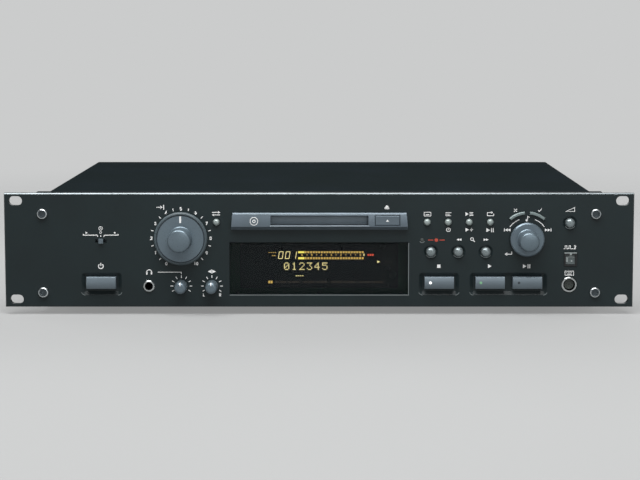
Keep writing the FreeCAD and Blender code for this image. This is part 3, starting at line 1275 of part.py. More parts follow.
def make_head_arm():
    """The recording head's arm, on the sled's post behind the cartridge holder."""
    arm = panel_piece("head_arm")
    inner = 5 + S.part_gap
    outer = S.arm_wide / 2 + 0.5
    low, high = ARM_HIGH - S.arm_thick / 2, ARM_HIGH + S.arm_thick / 2
    lens = S.spindle_depth + 14.5
    front = POST_FRONT - 1
    arm.add("z", low, high, box(-outer, lens - 3, outer, front))
    arm.add("x", inner, outer, box(front, ARM_HIGH - 1.8, POST_FRONT + 4, ARM_HIGH + 1.8))
    arm.add("x", -outer, -inner, box(front, ARM_HIGH - 1.8, POST_FRONT + 4, ARM_HIGH + 1.8))
    arm.add("z", low - 2.4, low, centred(0, lens, 4, 4))
    arm.cut("x", -outer, outer, Circle(POST_FRONT + 2, ARM_HIGH, S.pin_radius + S.running_gap))
    return arm


def make_turntable():
    """The spindle's magnetic turntable with its centring nub and shaft."""
    table = Piece("turntable").place(0, SPINDLE_Y, BASE)
    low, high = S.table_low, S.table_high
    rod = S.spindle_radius
    return table.turn((0, low - 9), (rod, low - 9), (rod, low), (S.table_radius, low),
                      (S.table_radius, low + 1.2), (4, low + 1.2), (4, high), (1.8, high),
                      (1.4, high + 1), (0, high + 1), across="y")


def make_cartridge_holder():
    """The open-fronted cartridge holder, with its guide pins and the openings over the disc."""
    holder = panel_piece("cartridge_holder")
    half = HOLDER_HALF
    sheet = S.holder_sheet
    low, high = S.holder_low - sheet, S.holder_low + S.holder_inner_high + sheet
    start, end = S.holder_start, S.holder_start + S.holder_long
    inner = S.holder_inner_wide / 2
    holder.add("y", start, end, box(-half, low, half, high))
    holder.cut("y", start, end - sheet, box(-inner, S.holder_low, inner, high - sheet))
    holder.cut("z", low, S.holder_low, box(-26, S.spindle_depth - 13, 26, end))
    holder.cut("z", high - sheet, high, box(-8, S.spindle_depth + 6, 8, end))
    holder.cut("y", end - sheet, end, box(-8, low, 8, high))
    reach = S.drive_wide / 2 - 0.3
    for near, far in ((half, reach), (-reach, -half)):
        holder.add("x", near, far, *[Circle(y, PIN_HIGH, S.pin_radius) for y in PINS])
    return holder


def make_loading_slider():
    """The loading slider: a plate with slanted slots for the holder's pins, and a rack below."""
    slider = panel_piece("loading_slider")
    low = GEAR_HIGH + GEAR_RADIUS + S.gear_module
    high = S.drive_floor + S.drive_high - 5
    start, end = S.drive_start + 2, PINS[1] + 5
    slider.add("x", SLIDER_IN, SLIDER_IN + S.slider_thick, box(start, low, end, high))
    rise = math.atan2(number(S.holder_drop), number(S.slider_travel))
    cos, sin = math.cos(rise), math.sin(rise)
    wide = S.pin_radius + S.running_gap * 3
    reach = 1.6
    slots = []
    for y in PINS:
        far, near = (y, PIN_HIGH), (y - S.slider_travel, PIN_HIGH - S.holder_drop)
        ends = [(near[0] - reach * cos, near[1] - reach * sin), (far[0] + reach * cos, far[1] + reach * sin)]
        slots.append(Polygon((ends[0][0] + wide * sin, ends[0][1] - wide * cos),
                             (ends[1][0] + wide * sin, ends[1][1] - wide * cos),
                             (ends[1][0] - wide * sin, ends[1][1] + wide * cos),
                             (ends[0][0] - wide * sin, ends[0][1] + wide * cos)))
    slider.cut("x", SLIDER_IN, SLIDER_IN + S.slider_thick, *slots)
    pitch = S.gear_module * math.pi
    line = GEAR_HIGH + GEAR_RADIUS
    thick = SLIDER_IN + S.gear_thick
    slider.add("x", SLIDER_IN, thick, box(start, low, start + pitch * 14, low + 1.4))
    slope = math.tan(math.radians(20)) * 0.5
    first = S.gear_depth + pitch / 2 - pitch * 11
    tooth = slider.sketch("x", SLIDER_IN, [Polygon(
        (first - pitch / 4 - slope * 0.9, low), (first + pitch / 4 + slope * 0.9, low),
        (first + pitch / 4 - slope * 0.9 - 0.05, line - 0.4),
        (first - pitch / 4 + slope * 0.9 + 0.05, line - 0.4))])
    slider.feature("Pad", tooth, S.gear_thick)
    slider.repeat("LinearPattern", tooth, 13, pitch * 12)
    return slider


def make_loading_gear():
    """The loading motor's gear, with its shaft."""
    gear = Piece("loading_gear").place(SLIDER_IN, FACE + S.gear_depth, BASE + GEAR_HIGH)
    pitch = GEAR_RADIUS
    root = pitch - 0.62
    gear.add("x", 0, S.gear_thick, Circle(0, 0, root))
    flank = [(root - 0.1, 0.56), (pitch - 0.3, 0.47), (pitch, 0.37), (pitch + 0.2, 0.29),
             (pitch + 0.4, 0.2)]
    corners = [(-half, r) for r, half in flank] + [(half, r) for r, half in reversed(flank)]
    tooth = gear.sketch("x", 0, [Polygon(*corners)])
    gear.feature("Pad", tooth, S.gear_thick)
    gear.repeat("PolarPattern", tooth, 20, None)
    gear.add("x", S.gear_thick, S.gear_thick + 9, Circle(0, 0, 1))
    return gear


MAKERS = [
    make_front_panel, make_front_frame, make_panel_screws, make_power_button, make_eject_button,
    make_front_switches, make_timer_slider, make_rotary_controls,
    make_track_plunger, make_slot_bezel, make_slot_door, make_display_window, make_display_tube,
    make_phones_jack, make_keyboard_socket, make_optical_socket, make_optical_shutter,
    make_record_lamp, make_front_boards, make_chassis_tray, make_top_cover, make_rear_panel,
    make_feet, make_case_screws, make_mains_inlet, make_rear_jacks, make_case_boards,
    make_board_components, make_transformer, make_drive_frame, make_drive_stand, make_dampers,
    make_drive_motors, make_guide_rods, make_lead_screw, make_pickup_sled, make_head_arm,
    make_turntable, make_cartridge_holder, make_loading_slider, make_loading_gear,
]


def make_all():
    """Makes every sub-part."""
    for maker in MAKERS:
        maker()
    for label, x in SMALL_KEYS:
        make_round_key(label, x, S.small_z, S.small_radius, S.small_reach, S.small_dome)
    for label, x, z in ROUND_KEYS:
        make_round_key(label, x, z, S.round_radius, S.round_reach, S.round_dome)
    for label, x in WIDE_KEYS[1:]:
        make_wide_key(label, x)
    for label, start, end, sine in ARC_KEYS:
        make_arc_key(label, start, end, sine)
    make_dial("input_knob", S.input_x, S.input_z, S.input_radius, S.input_plate,
              S.input_boss_radius, S.board_front - 4, S.groove_radius)
    make_dial("track_knob", S.track_x, S.track_z, S.track_radius, S.track_plate,
              S.track_boss_radius, S.board_front - 4)
    for label, x in TRIM_KNOBS:
        make_trim_knob(label, x)


def check_and_write():
    """Stops on a failed feature or shape, then writes one STEP file for each body."""
    DOC.recompute()
    bad = [o.Label for o in DOC.Objects if {"Invalid", "Error"} & set(o.State)]
    bodies = [o for o in DOC.Objects if o.TypeId == "PartDesign::Body"]
    bad += [b.Label for b in bodies if b.Shape.isNull() or not b.Shape.isValid()]
    if bad:
        raise RuntimeError(f"failed: {sorted(set(bad))}")
    os.makedirs("parts", exist_ok=True)
    for body in bodies:
        body.Shape.exportStep(os.path.join("parts", f"{body.Label}.step"))


make_all()
check_and_write()
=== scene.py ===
"""Looks of a rack minidisc deck: finishes, panel marks, lit display and studio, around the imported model."""
import logging
import math
from dataclasses import dataclass
from enum import Enum

import bmesh
import bpy
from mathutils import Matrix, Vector


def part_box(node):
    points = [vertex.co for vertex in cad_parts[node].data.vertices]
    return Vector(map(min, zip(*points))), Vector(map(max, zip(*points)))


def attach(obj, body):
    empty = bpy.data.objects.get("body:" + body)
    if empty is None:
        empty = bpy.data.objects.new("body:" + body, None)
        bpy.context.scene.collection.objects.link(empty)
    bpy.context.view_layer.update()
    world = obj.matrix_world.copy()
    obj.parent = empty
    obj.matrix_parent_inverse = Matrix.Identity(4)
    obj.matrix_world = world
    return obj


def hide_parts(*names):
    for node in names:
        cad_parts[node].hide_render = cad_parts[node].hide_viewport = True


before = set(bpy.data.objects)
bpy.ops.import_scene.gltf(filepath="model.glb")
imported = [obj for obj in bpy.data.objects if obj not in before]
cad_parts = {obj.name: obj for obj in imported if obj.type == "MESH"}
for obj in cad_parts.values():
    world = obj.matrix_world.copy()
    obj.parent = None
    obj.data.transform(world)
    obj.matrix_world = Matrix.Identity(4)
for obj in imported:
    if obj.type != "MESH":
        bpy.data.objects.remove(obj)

LOG = logging.getLogger("deck")
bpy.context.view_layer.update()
MM = 0.001
# The panel's face, its lower edge and its height, in millimetres in the row frame.
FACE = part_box("front_panel")[0].y / MM
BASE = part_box("front_panel")[0].z / MM
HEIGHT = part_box("front_panel")[1].z / MM - BASE
# A distance in millimetres that lies beyond the deck, and the step of round marks in degrees.
FAR = 1000.0
ARC_STEP = 12.0
# Two places that are nearer to each other than this, in millimetres, count as one.
NEAR = 1e-6

Point = tuple[float, float]
Place = tuple[float, float, float]
Span = tuple[float, float, float, float]
Shapes = tuple[tuple, ...]
Tree = bpy.types.NodeTree
Socket = bpy.types.NodeSocket


def middle(node: str) -> Point:
    """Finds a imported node's middle in millimetres: across from the panel's middle, up from its lower edge."""
    low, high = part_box(node)
    return (low.x + high.x) / 2 / MM, (low.z + high.z) / 2 / MM - BASE


def front(node: str) -> float:
    """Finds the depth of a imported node's front in millimetres behind the panel's face."""
    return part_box(node)[0].y / MM - FACE


def row_place(x: float, depth: float, z: float) -> Place:
    """Turns a place on the panel into metres in the row frame.

    Args:
        x: Millimetres across from the panel's middle.
        depth: Millimetres behind the panel's face.
        z: Millimetres up from the panel's lower edge.

    Returns:
        The place's three coordinates.
    """
    return x * MM, (FACE + depth) * MM, (BASE + z) * MM


def channels(colour: str) -> list[int]:
    """Splits a hex colour, such as "#rrggbb", into its three channels from 0 to 255."""
    return [int(colour[i:i + 2], 16) for i in (1, 3, 5)]


def linear(colour: str) -> Span:
    """Turns an sRGB hex colour into linear values.

    Args:
        colour: The colour as "#rrggbb".

    Returns:
        Its linear red, green and blue, and an alpha of 1.
    """
    parts = [channel / 255 for channel in channels(colour)]
    red, green, blue = (c / 12.92 if c <= 0.04045 else ((c + 0.055) / 1.055) ** 2.4 for c in parts)
    return red, green, blue, 1.0


def shade(colour: str, factor: float) -> str:
    """Multiplies each channel of a hex colour by a factor, and returns the new hex colour."""
    return "#%02x%02x%02x" % tuple(min(255, round(channel * factor)) for channel in channels(colour))


def add_node(tree: Tree, kind: str, settings: dict | None = None,
             links: dict | None = None) -> bpy.types.Node:
    """Adds one node with its settings and its incoming links.

    Args:
        tree: The node tree that gets the node.
        kind: The node's type in Blender, without "ShaderNode" at its start.
        settings: Values by attribute, or by an input's name or number.
        links: Output sockets by the name or number of the input that they feed.

    Returns:
        The new node.
    """
    node = tree.nodes.new("ShaderNode" + kind)
    for key, value in (settings or {}).items():
        if isinstance(key, int) or key in node.inputs:
            node.inputs[key].default_value = value
        else:
            setattr(node, key, value)
    for key, socket in (links or {}).items():
        tree.links.new(socket, node.inputs[key])
    return node


def ramp(tree: Tree, source: Socket, stops: dict[float, str], interpolation: str = "LINEAR") -> Socket:
    """Maps a value to colours.

    Args:
        tree: The node tree.
        source: The value.
        stops: Hex colours by place, from 0 to 1.
        interpolation: How the colours run into each other.

    Returns:
        The colour's socket.
    """
    node = add_node(tree, "ValToRGB", links={"Fac": source})
    node.color_ramp.interpolation = interpolation
    while len(node.color_ramp.elements) < len(stops):
        node.color_ramp.elements.new(0.5)
    for element, (place, colour) in zip(node.color_ramp.elements, sorted(stops.items())):
        element.position, element.color = place, linear(colour)
    return node.outputs["Color"]


def start_material(name: str) -> tuple[bpy.types.Material, Tree, Socket]:
    """Makes a material whose node tree holds nothing but the place on the object.

    Args:
        name: The material's name.

    Returns:
        The material, its node tree and the place's socket.
    """
    material = bpy.data.materials.new(name)
    material.use_nodes = True
    tree = material.node_tree
    tree.nodes.clear()
    return material, tree, add_node(tree, "TexCoord").outputs["Object"]


@dataclass(frozen=True)
class Finish:
    """An opaque finish: a colour with slight mottling, and a fine surface grain.

    grain_mm is the size of the grain's bumps, and grain_deep how far they raise the surface in millimetres.
    """

    name: str
    colour: str
    roughness: float
    metallic: float = 0.0
    grain_mm: float = 0.5
    grain_deep: float = 0.01
    mottle: float = 0.05
    mottle_mm: float = 18.0
    mottle_detail: float = 3.0
    grain_detail: float = 2.0
    sheen_spread: float = 0.06
    ior: float = 1.5

    def material(self) -> bpy.types.Material:
        """Builds the finish's material, or returns it if it is there already."""
        found = bpy.data.materials.get(self.name)
        if found:
            return found
        material, tree, place = start_material(self.name)
        shader = add_node(tree, "BsdfPrincipled", *self.inputs(tree, place)).outputs["BSDF"]
        add_node(tree, "OutputMaterial", links={"Surface": shader})
        return material

    def inputs(self, tree: Tree, place: Socket) -> tuple[dict, dict]:
        """Adds the nodes that feed the shader.

        Args:
            tree: The material's node tree.
            place: The socket of the place on the object.

        Returns:
            The shader's settings and links.
        """
        colour, rough, bump = self.surface(tree, place)
        return ({"Metallic": self.metallic, "IOR": self.ior},
                {"Base Color": colour, "Roughness": rough, "Normal": bump})

    def surface(self, tree: Tree, place: Socket) -> list[Socket]:
        """Adds the nodes of the finish's surface.

        Args:
            tree: The material's node tree.
            place: The socket of the place on the object.

        Returns:
            The sockets of its colour, its roughness and its normal.
        """
        grain, half = self.grain(tree, place), self.sheen_spread / 2
        rough = add_node(tree, "MapRange", {"From Min": 0.3, "From Max": 0.7, "To Min": self.roughness - half,
                                            "To Max": self.roughness + half}, {"Value": grain})
        return [self.tones(tree, place), rough.outputs["Result"], self.relief(tree, grain)]

    def tones(self, tree: Tree, place: Socket) -> Socket:
        """Adds the colour, with lumps of mottling that are about mottle_mm across."""
        cloud = add_node(tree, "TexNoise", {"Scale": 1 / (self.mottle_mm * MM), "Detail": self.mottle_detail},
                         {"Vector": place})
        return ramp(tree, cloud.outputs["Fac"], {0.3: shade(self.colour, 1 - self.mottle),
                                                 0.7: shade(self.colour, 1 + self.mottle)})

    def relief(self, tree: Tree, grain: Socket) -> Socket:
        """Raises the surface by the grain, and returns its normal."""
        return add_node(tree, "Bump", {"Strength": 1.0, "Distance": self.grain_deep * MM},
                        {"Height": grain}).outputs["Normal"]

    def grain(self, tree: Tree, place: Socket) -> Socket:
        """Adds the finish's own surface grain, and returns its height."""
        return add_node(tree, "TexNoise", {"Scale": 1 / (self.grain_mm * MM), "Detail": self.grain_detail},
                        {"Vector": place}).outputs["Fac"]


@dataclass(frozen=True)
class BrushedFinish(Finish):
    """A finish with fine straight lines across the object, from rolling, drawing or turning."""

    line_mm: float = 0.35
    stretch: float = 60.0

    def grain(self, tree: Tree, place: Socket) -> Socket:
        """Adds noise stretched along X, and returns its height."""
        fine = 1 / (self.line_mm * MM)
        moved = add_node(tree, "Mapping", {"Scale": (fine / self.stretch, fine, fine)}, {"Vector": place})
        return add_node(tree, "TexNoise", {"Scale": 1.0, "Detail": 3.0},
                        {"Vector": moved.outputs["Vector"]}).outputs["Fac"]


@dataclass(frozen=True)
class ClearFinish(Finish):
    """A tinted sheet, polished: part of the light comes through, and the rest is held by the dye."""

    cover: float = 0.45
    mottle_detail: float = 2.0
    grain_detail: float = 1.0

    def inputs(self, tree: Tree, place: Socket) -> tuple[dict, dict]:
        """Adds the nodes of the dye and of the polish's waviness, and returns the settings and links."""
        wave = self.relief(tree, self.grain(tree, place))
        return ({"Alpha": self.cover, "IOR": self.ior, "Roughness": self.roughness},
                {"Base Color": self.tones(tree, place), "Normal": wave})


@dataclass(frozen=True)
class LitFinish(Finish):
    """A phosphor segment or a lamp's diffuser that gives light through a fine grain."""

    glow: str = "#ffffff"
    strength: float = 1.0

    def inputs(self, tree: Tree, place: Socket) -> tuple[dict, dict]:
        """Adds the nodes of the light's grain, and returns the shader's settings and links."""
        glow = ramp(tree, self.grain(tree, place), {0.3: shade(self.glow, 1 - self.mottle), 0.7: self.glow})
        return ({"Base Color": linear(self.colour), "Roughness": self.roughness,
                 "Emission Strength": self.strength}, {"Emission Color": glow})


@dataclass(frozen=True)
class BoardFinish(Finish):
    """Solder resist over copper: tracks show as lighter straight runs under the green lacquer."""

    cell_mm: float = 3.9

    def grain(self, tree: Tree, place: Socket) -> Socket:
        """Adds square cells, as tracks and pads give, and returns their value."""
        return add_node(tree, "TexVoronoi", {"distance": "CHEBYCHEV", "Scale": 1 / (self.cell_mm * MM)},
                        {"Vector": place}).outputs["Distance"]


@dataclass(frozen=True)
class LayeredFinish(Finish):
    """Stacked sheets or wound turns seen at their edges, as even lines across one axis."""

    line_mm: float = 0.5
    across: str = "Y"
    wave: float = 0.314

    def grain(self, tree: Tree, place: Socket) -> Socket:
        """Adds even lines across the axis, and returns their height. wave is how long one is at scale 1."""
        return add_node(tree, "TexWave", {
            "wave_type": "BANDS", "bands_direction": self.across, "Distortion": 0.4, "Detail": 1.0,
            "Scale": self.wave / (self.line_mm * MM)}, {"Vector": place}).outputs["Fac"]


@dataclass(frozen=True)
class ZonedFinish(Finish):
    """One finish outside a zone and another inside it. The zone here is a box in row millimetres."""

    colour: str = ""
    roughness: float = 0.0
    outside: Finish | None = None
    inside: Finish | None = None
    low: Place = (-FAR, -FAR, -FAR)
    high: Place = (FAR, FAR, FAR)

    def inputs(self, tree: Tree, place: Socket) -> tuple[dict, dict]:
        """Adds both finishes' nodes, mixed by the zone.

        Args:
            tree: The material's node tree.
            place: The socket of the place on the object.

        Returns:
            The shader's settings and links.
        """
        mask = self.mask(tree, place)
        colour, rough, bump = (
            add_node(tree, "Mix", {"data_type": "RGBA"}, {0: mask, 6: a, 7: b}).outputs[2]
            for a, b in zip(self.outside.surface(tree, place), self.inside.surface(tree, place)))
        metal = add_node(tree, "MapRange", {"To Min": self.outside.metallic, "To Max": self.inside.metallic},
                         {"Value": mask}).outputs["Result"]
        return ({"IOR": self.ior},
                {"Base Color": colour, "Roughness": rough, "Normal": bump, "Metallic": metal})

    def mask(self, tree: Tree, place: Socket) -> Socket:
        """Adds the zone.

        Args:
            tree: The material's node tree.
            place: The socket of the place on the object.

        Returns:
            The socket of a value that is 1 inside it.
        """
        split = add_node(tree, "SeparateXYZ", links={"Vector": place}).outputs
        sides = []
        for axis, low, high in zip("XYZ", self.low, self.high):
            bounds = {"operation": "COMPARE", 1: (low + high) / 2 * MM, 2: (high - low) / 2 * MM}
            sides.append(add_node(tree, "Math", bounds, {0: split[axis]}).outputs["Value"])
        total = sides[0]
        for side in sides[1:]:
            total = add_node(tree, "Math", {"operation": "MULTIPLY"}, {0: total, 1: side}).outputs["Value"]
        return total


@dataclass(frozen=True)
class RimFinish(ZonedFinish):
    """One finish near an axis that runs from front to back, and another further out than a radius."""

    centre: Point = (0.0, 0.0)
    radius: float = 10.0

    def mask(self, tree: Tree, place: Socket) -> Socket:
        """Adds the zone beyond the radius.

        Args:
            tree: The material's node tree.
            place: The socket of the place on the object.

        Returns:
            The socket of a value that is 1 in it.
        """
        x, z = self.centre[0] * MM, (BASE + self.centre[1]) * MM
        flat = add_node(tree, "VectorMath", {"operation": "MULTIPLY", 1: (1, 0, 1)}, {0: place})
        away = add_node(tree, "VectorMath", {"operation": "DISTANCE", 1: (x, 0, z)},
                        {0: flat.outputs["Vector"]}).outputs["Value"]
        return add_node(tree, "Math", {"operation": "GREATER_THAN", 1: self.radius * MM},
                        {0: away}).outputs["Value"]


def lacquer(use: str, colour: str, roughness: float, metallic: float, grain_mm: float = 0.5,
            grain_deep: float = 0.003) -> Finish:
    """Gives the blue-grey metallic lacquer that is sprayed on moulded ABS, in the tone of one use."""
    name = "ABS_sprayed_metallic_lacquer_" + use
    return Finish(name, colour, roughness, metallic, grain_mm, grain_deep, 0.03)


def moulded(use: str, colour: str, roughness: float, grain_mm: float = 0.7, grain_deep: float = 0.01,
            **more: float) -> Finish:
    """Gives moulded ABS that is left bare, in the tone of one use."""
    return Finish("ABS_moulded_" + use, colour, roughness, grain_mm=grain_mm, grain_deep=grain_deep, **more)


def phosphor(tone: str, colour: str, glow: str, strength: float, mottle: float = 0.05) -> Finish:
    """Gives zinc oxide phosphor behind a filter: even light with a fine mesh over it."""
    name = "phosphor_" + tone
    return LitFinish(name, colour, 0.6, glow=glow, strength=strength, grain_mm=0.3, mottle=mottle)


# Grain of 0.05 to 0.2 mm, which blasting, spraying and printing leave, is too fine to show in a render. So it
# is drawn at 0.3 to 0.8 mm, and the lines of rolling and turning at 0.35 to 0.5 mm.

# The bead-blasted sheet is anodised near black. That gives an even, fine-grained satin with a cool cast.
SATIN_BLACK = Finish("anodised_aluminium_bead_blasted", "#1c2628", 0.42, grain_mm=0.45, grain_deep=0.012,
                     mottle_mm=40, ior=1.35)
# Painted highlight: only the top edge is bright bare metal, so a light line shows where the chamfer faces the
# overhead light. The metal also mirrors that light.
TOP_EDGE_PAINTED_HIGHLIGHT = Finish("aluminium_top_edge_painted_highlight", "#7b8285", 0.36, 0.9, grain_mm=0.6, grain_deep=0.004)
TOP_HIGHLIGHT_DEEP = 0.75
PANEL = ZonedFinish("anodised_aluminium_with_painted_top_edge_highlight", ior=1.35, outside=SATIN_BLACK, inside=TOP_EDGE_PAINTED_HIGHLIGHT,
                    low=(-FAR, -FAR, BASE + HEIGHT - TOP_HIGHLIGHT_DEEP), high=(FAR, FACE + TOP_HIGHLIGHT_DEEP, FAR))
# Painted highlights in bright bare metal: lines and arcs along only the lower and right edges of the window, the
# recesses, the round keys and the lamp, where those edges catch the light.
RIM_PAINTED_HIGHLIGHT = Finish("aluminium_rim_painted_highlight", "#8d9596", 0.36, 0.9, grain_mm=0.6, grain_deep=0.004)
# Baked enamel sprayed on folded steel. It flows out a little, so the cover shows a soft orange peel.
COVER = Finish("baked_enamel_sprayed", "#161c1e", 0.85, grain_mm=1.6, grain_deep=0.02, mottle_mm=60, ior=1.03)
# Moulded against a spark-eroded tool, which leaves a matt black web and rim.
FRAME = moulded("matt_black", "#191d1f", 0.8, 0.8, 0.02, ior=1.05)
# Rolled sheet with a zinc plating: bright, cool, with drawn lines from the rolls.
ZINC = BrushedFinish("zinc_plated_steel_rolled", "#a9aba8", 0.38, 0.9, grain_deep=0.004, line_mm=0.5)
# Black oxide on machined screws leaves a dark sheen that still looks like metal.
BLACK_OXIDE = Finish("steel_black_oxide_machined", "#4d5458", 0.36, 0.85, grain_mm=0.6, grain_deep=0.006)
# Bright nickel for the band of the panel screws' heads, set brighter than the rest as a painted highlight ring.
SCREW_RIM_PAINTED_HIGHLIGHT = Finish("steel_nickel_rim_painted_highlight", "#d6dbdd", 0.3, 0.95, grain_mm=0.6, grain_deep=0.004)
# Painted light on the panel screws: the head's face and the socket's floor are dark oxide as painted shade, and
# the band between them, the rim and the hexagon's walls, is bright as a painted highlight.
PANEL_SCREW_PAINTED_LIGHT = ZonedFinish("steel_nickel_plated_with_punched_socket", outside=BLACK_OXIDE, inside=SCREW_RIM_PAINTED_HIGHLIGHT,
                          low=(-FAR, FACE - 2.34, -FAR), high=(FAR, FACE - 0.5, FAR))
# The lacquer shows a soft sheen on every domed edge.
KEYS = lacquer("key", "#6a767e", 0.38, 0.35)
ROUND_KEYS = lacquer("round_key", "#828c8e", 0.28, 0.6, grain_deep=0.002)
SMALL_KEYS = lacquer("small_key", "#99a4a2", 0.36, 0.35, grain_deep=0.002)
ARC_KEYS = lacquer("arc_key", "#7a8787", 0.42, 0.3)
KNOBS = lacquer("dial", "#68767f", 0.3, 0.5, grain_mm=0.6)
# The input dial's outer ring, beyond the groove, is left as it came from the tool: duller and darker.
DIAL_RING = moulded("satin_dial_ring", "#49555a", 0.5, 0.6, 0.006)
INPUT_DIAL = RimFinish("ABS_sprayed_dial_with_bare_ring", outside=KNOBS, inside=DIAL_RING,
                       centre=(-105.9, 53.3), radius=18.75)
BEZEL = BrushedFinish("ABS_sprayed_metallic_lacquer_bezel", "#626e77", 0.34, 0.35, grain_deep=0.003,
                      line_mm=0.5, mottle=0.04)
# A pale strip along the slot's lower lip only: a painted highlight where the lip catches the light from above.
LIP_PAINTED_HIGHLIGHT = Finish("ABS_lacquer_lip_painted_highlight", "#d2dce2", 0.3, 0.35, grain_deep=0.003)
DOOR = moulded("satin_door", "#7e8a93", 0.38, 0.6, 0.008, mottle=0.03)
# Cast acrylic dyed with smoke: a polished face over a dark that only lit segments come through.
SMOKED = ClearFinish("acrylic_cast_smoked", "#11181a", 0.05, ior=1.3, grain_mm=30, grain_deep=0.002)
# The tube's glass is backed with black frit, so it stays dark between its segments.
TUBE = Finish("glass_black_backed", "#0d1111", 0.3, grain_mm=12, grain_deep=0.002)
# Sockets are moulded smooth, with a low gloss.
BLACK = moulded("socket_black", "#17181a", 0.4)
SHUTTER = moulded("grey_shutter", "#5e6768", 0.35)
SHUTTER_RIB = moulded("grey_rib", "#a5aeae", 0.3, grain_deep=0.006)
COLLARS = {"red": moulded("red_ring", "#a8342c", 0.4), "white": moulded("white_ring", "#d9dad6", 0.4),
           "orange": moulded("orange_ring", "#c9742a", 0.4)}
# Painted shade: a darker ring laid in the input dial's groove as the shadow line in it.
GROOVE_PAINTED_SHADE = Finish("ABS_groove_painted_shade", "#3a454c", 0.5, grain_mm=0.7, grain_deep=0.006)
INSERT = Finish("PBT_moulded_grey_insert", "#3a403c", 0.5, grain_mm=0.7)
# Bright nickel over brass, turned: a mirror with faint rings. Gold flash over nickel is thin and bright too.
NICKEL = Finish("nickel_plated_brass_turned", "#bcc0c0", 0.26, 1.0, grain_mm=0.8, grain_deep=0.002)
GOLD = Finish("gold_flashed_brass_turned", "#d8b26a", 0.22, 1.0, grain_mm=0.8, grain_deep=0.002)
# Natural rubber, moulded and left matt.
RUBBER = Finish("rubber_moulded_black", "#1c1d1e", 0.8, grain_mm=1.0, grain_deep=0.03)
BOARD = BoardFinish("solder_resist_over_copper", "#1d5a38", 0.32, grain_deep=0.03, mottle=0.12)
PARTS = Finish("epoxy_moulded_component", "#26272a", 0.48)
CORE = LayeredFinish("silicon_steel_laminated_varnished", "#4d463d", 0.45, 0.4, grain_deep=0.12, line_mm=1.0)
COIL = LayeredFinish("polyester_tape_wound", "#b8902f", 0.4, grain_deep=0.1, line_mm=2.4, across="Z")
ACETAL = Finish("acetal_moulded_natural", "#dcdbd2", 0.42, grain_mm=0.7, grain_deep=0.008, mottle=0.02)
# Each socket has a plated ring in front of a black moulded body, and the jacks have plated barrels behind.
FRONT_SOCKET = ZonedFinish("nickel_ring_in_ABS_body", outside=BLACK, inside=NICKEL,
                           high=(FAR, FACE + 0.6, FAR))
JACK = ZonedFinish("gold_barrel_in_ABS_block", outside=BLACK, inside=GOLD, low=(-FAR, FACE + 286.6, -FAR))
INLET = ZonedFinish("nickel_blades_in_ABS_shell", outside=BLACK, inside=NICKEL,
                    low=(-174.0, FACE + 269.0, 41.0), high=(-156.0, FACE + 281.5, 51.5))
LAMP = LitFinish("polycarbonate_moulded_lamp", "#3e4443", 0.16, glow="#3a403f", strength=0.04)
# Epoxy ink, screen printed: flat, off white, with a slightly broken edge.
INK = Finish("epoxy_ink_screen_printed", "#fbfcfb", 0.5, grain_mm=0.3, grain_deep=0.004, mottle=0.03)
INK_RED = Finish("epoxy_ink_screen_printed_red", "#c8503c", 0.5, grain_mm=0.3, grain_deep=0.004)
AMBER = phosphor("amber", "#3a3018", "#e4bf66", 2.6, mottle=0.12)
PALE = phosphor("pale_yellow", "#3a3418", "#ecdc9c", 3.8)
YELLOW = phosphor("bright_yellow", "#3a3718", "#f4e468", 3.6)
RED = phosphor("red", "#3a1512", "#e0563f", 2.8)
# The unlit legends get a faint glow of their own: painted light in place of the ambient light that they would
# reflect.
UNLIT_PAINTED_GLOW = phosphor("unlit", "#2b2a27", "#6a5f54", 1.0)
GREEN_LENS = LitFinish("polycarbonate_lens_green", "#5f8f6a", 0.3, glow="#8fc79a", strength=0.35)
WHITE_LENS = LitFinish("polycarbonate_lens_white", "#e8ecec", 0.3, glow="#ffffff", strength=0.75)
DARK_LENS = Finish("polycarbonate_lens_unlit", "#3d464c", 0.25, grain_mm=1.0)

NODE_FINISH = {
    PANEL: "front_panel",
    FRAME: "front_frame",
    BLACK_OXIDE: "case_screws",
    PANEL_SCREW_PAINTED_LIGHT: "panel_screws",
    KEYS: "power_button timer_slider stop_button play_button ready_button",
    SMALL_KEYS: "selector_button display_button title_button mode_button repeat_button",
    ROUND_KEYS: "record_button search_back_button search_forward_button fader_button",
    ARC_KEYS: "edit_button yes_button",
    KNOBS: "input_knob track_knob phones_knob balance_knob",
    BEZEL: "slot_bezel eject_button",
    DOOR: "slot_door",
    SMOKED: "display_window",
    TUBE: "display_tube",
    BLACK: "optical_socket front_switches pickup_sled",
    SHUTTER: "optical_shutter",
    FRONT_SOCKET: "phones_jack keyboard_socket",
    INLET: "mains_inlet",
    NICKEL: "guide_rods lead_screw turntable",
    ZINC: "rotary_controls chassis_tray drive_frame drive_stand drive_motors head_arm cartridge_holder",
    COVER: "top_cover rear_panel",
    RUBBER: "feet dampers",
    JACK: "rear_jacks",
    BOARD: "front_boards case_boards",
    PARTS: "board_components",
    CORE: "transformer_core",
    COIL: "transformer_coil",
    ACETAL: "track_plunger loading_slider loading_gear",
    LAMP: "record_lamp",
}


def place_object(name: str, data: bpy.types.ID, place: Place = (0.0, 0.0, 0.0),
                 turn: Place = (0.0, 0.0, 0.0)) -> bpy.types.Object:
    """Adds an object to the scene.

    Args:
        name: The object's name.
        data: Its mesh, light or camera.
        place: Where it stands, in metres.
        turn: Its turns in radians.

    Returns:
        The object.
    """
    thing = bpy.data.objects.new(name, data)
    thing.location, thing.rotation_euler = place, turn
    bpy.context.scene.collection.objects.link(thing)
    return thing


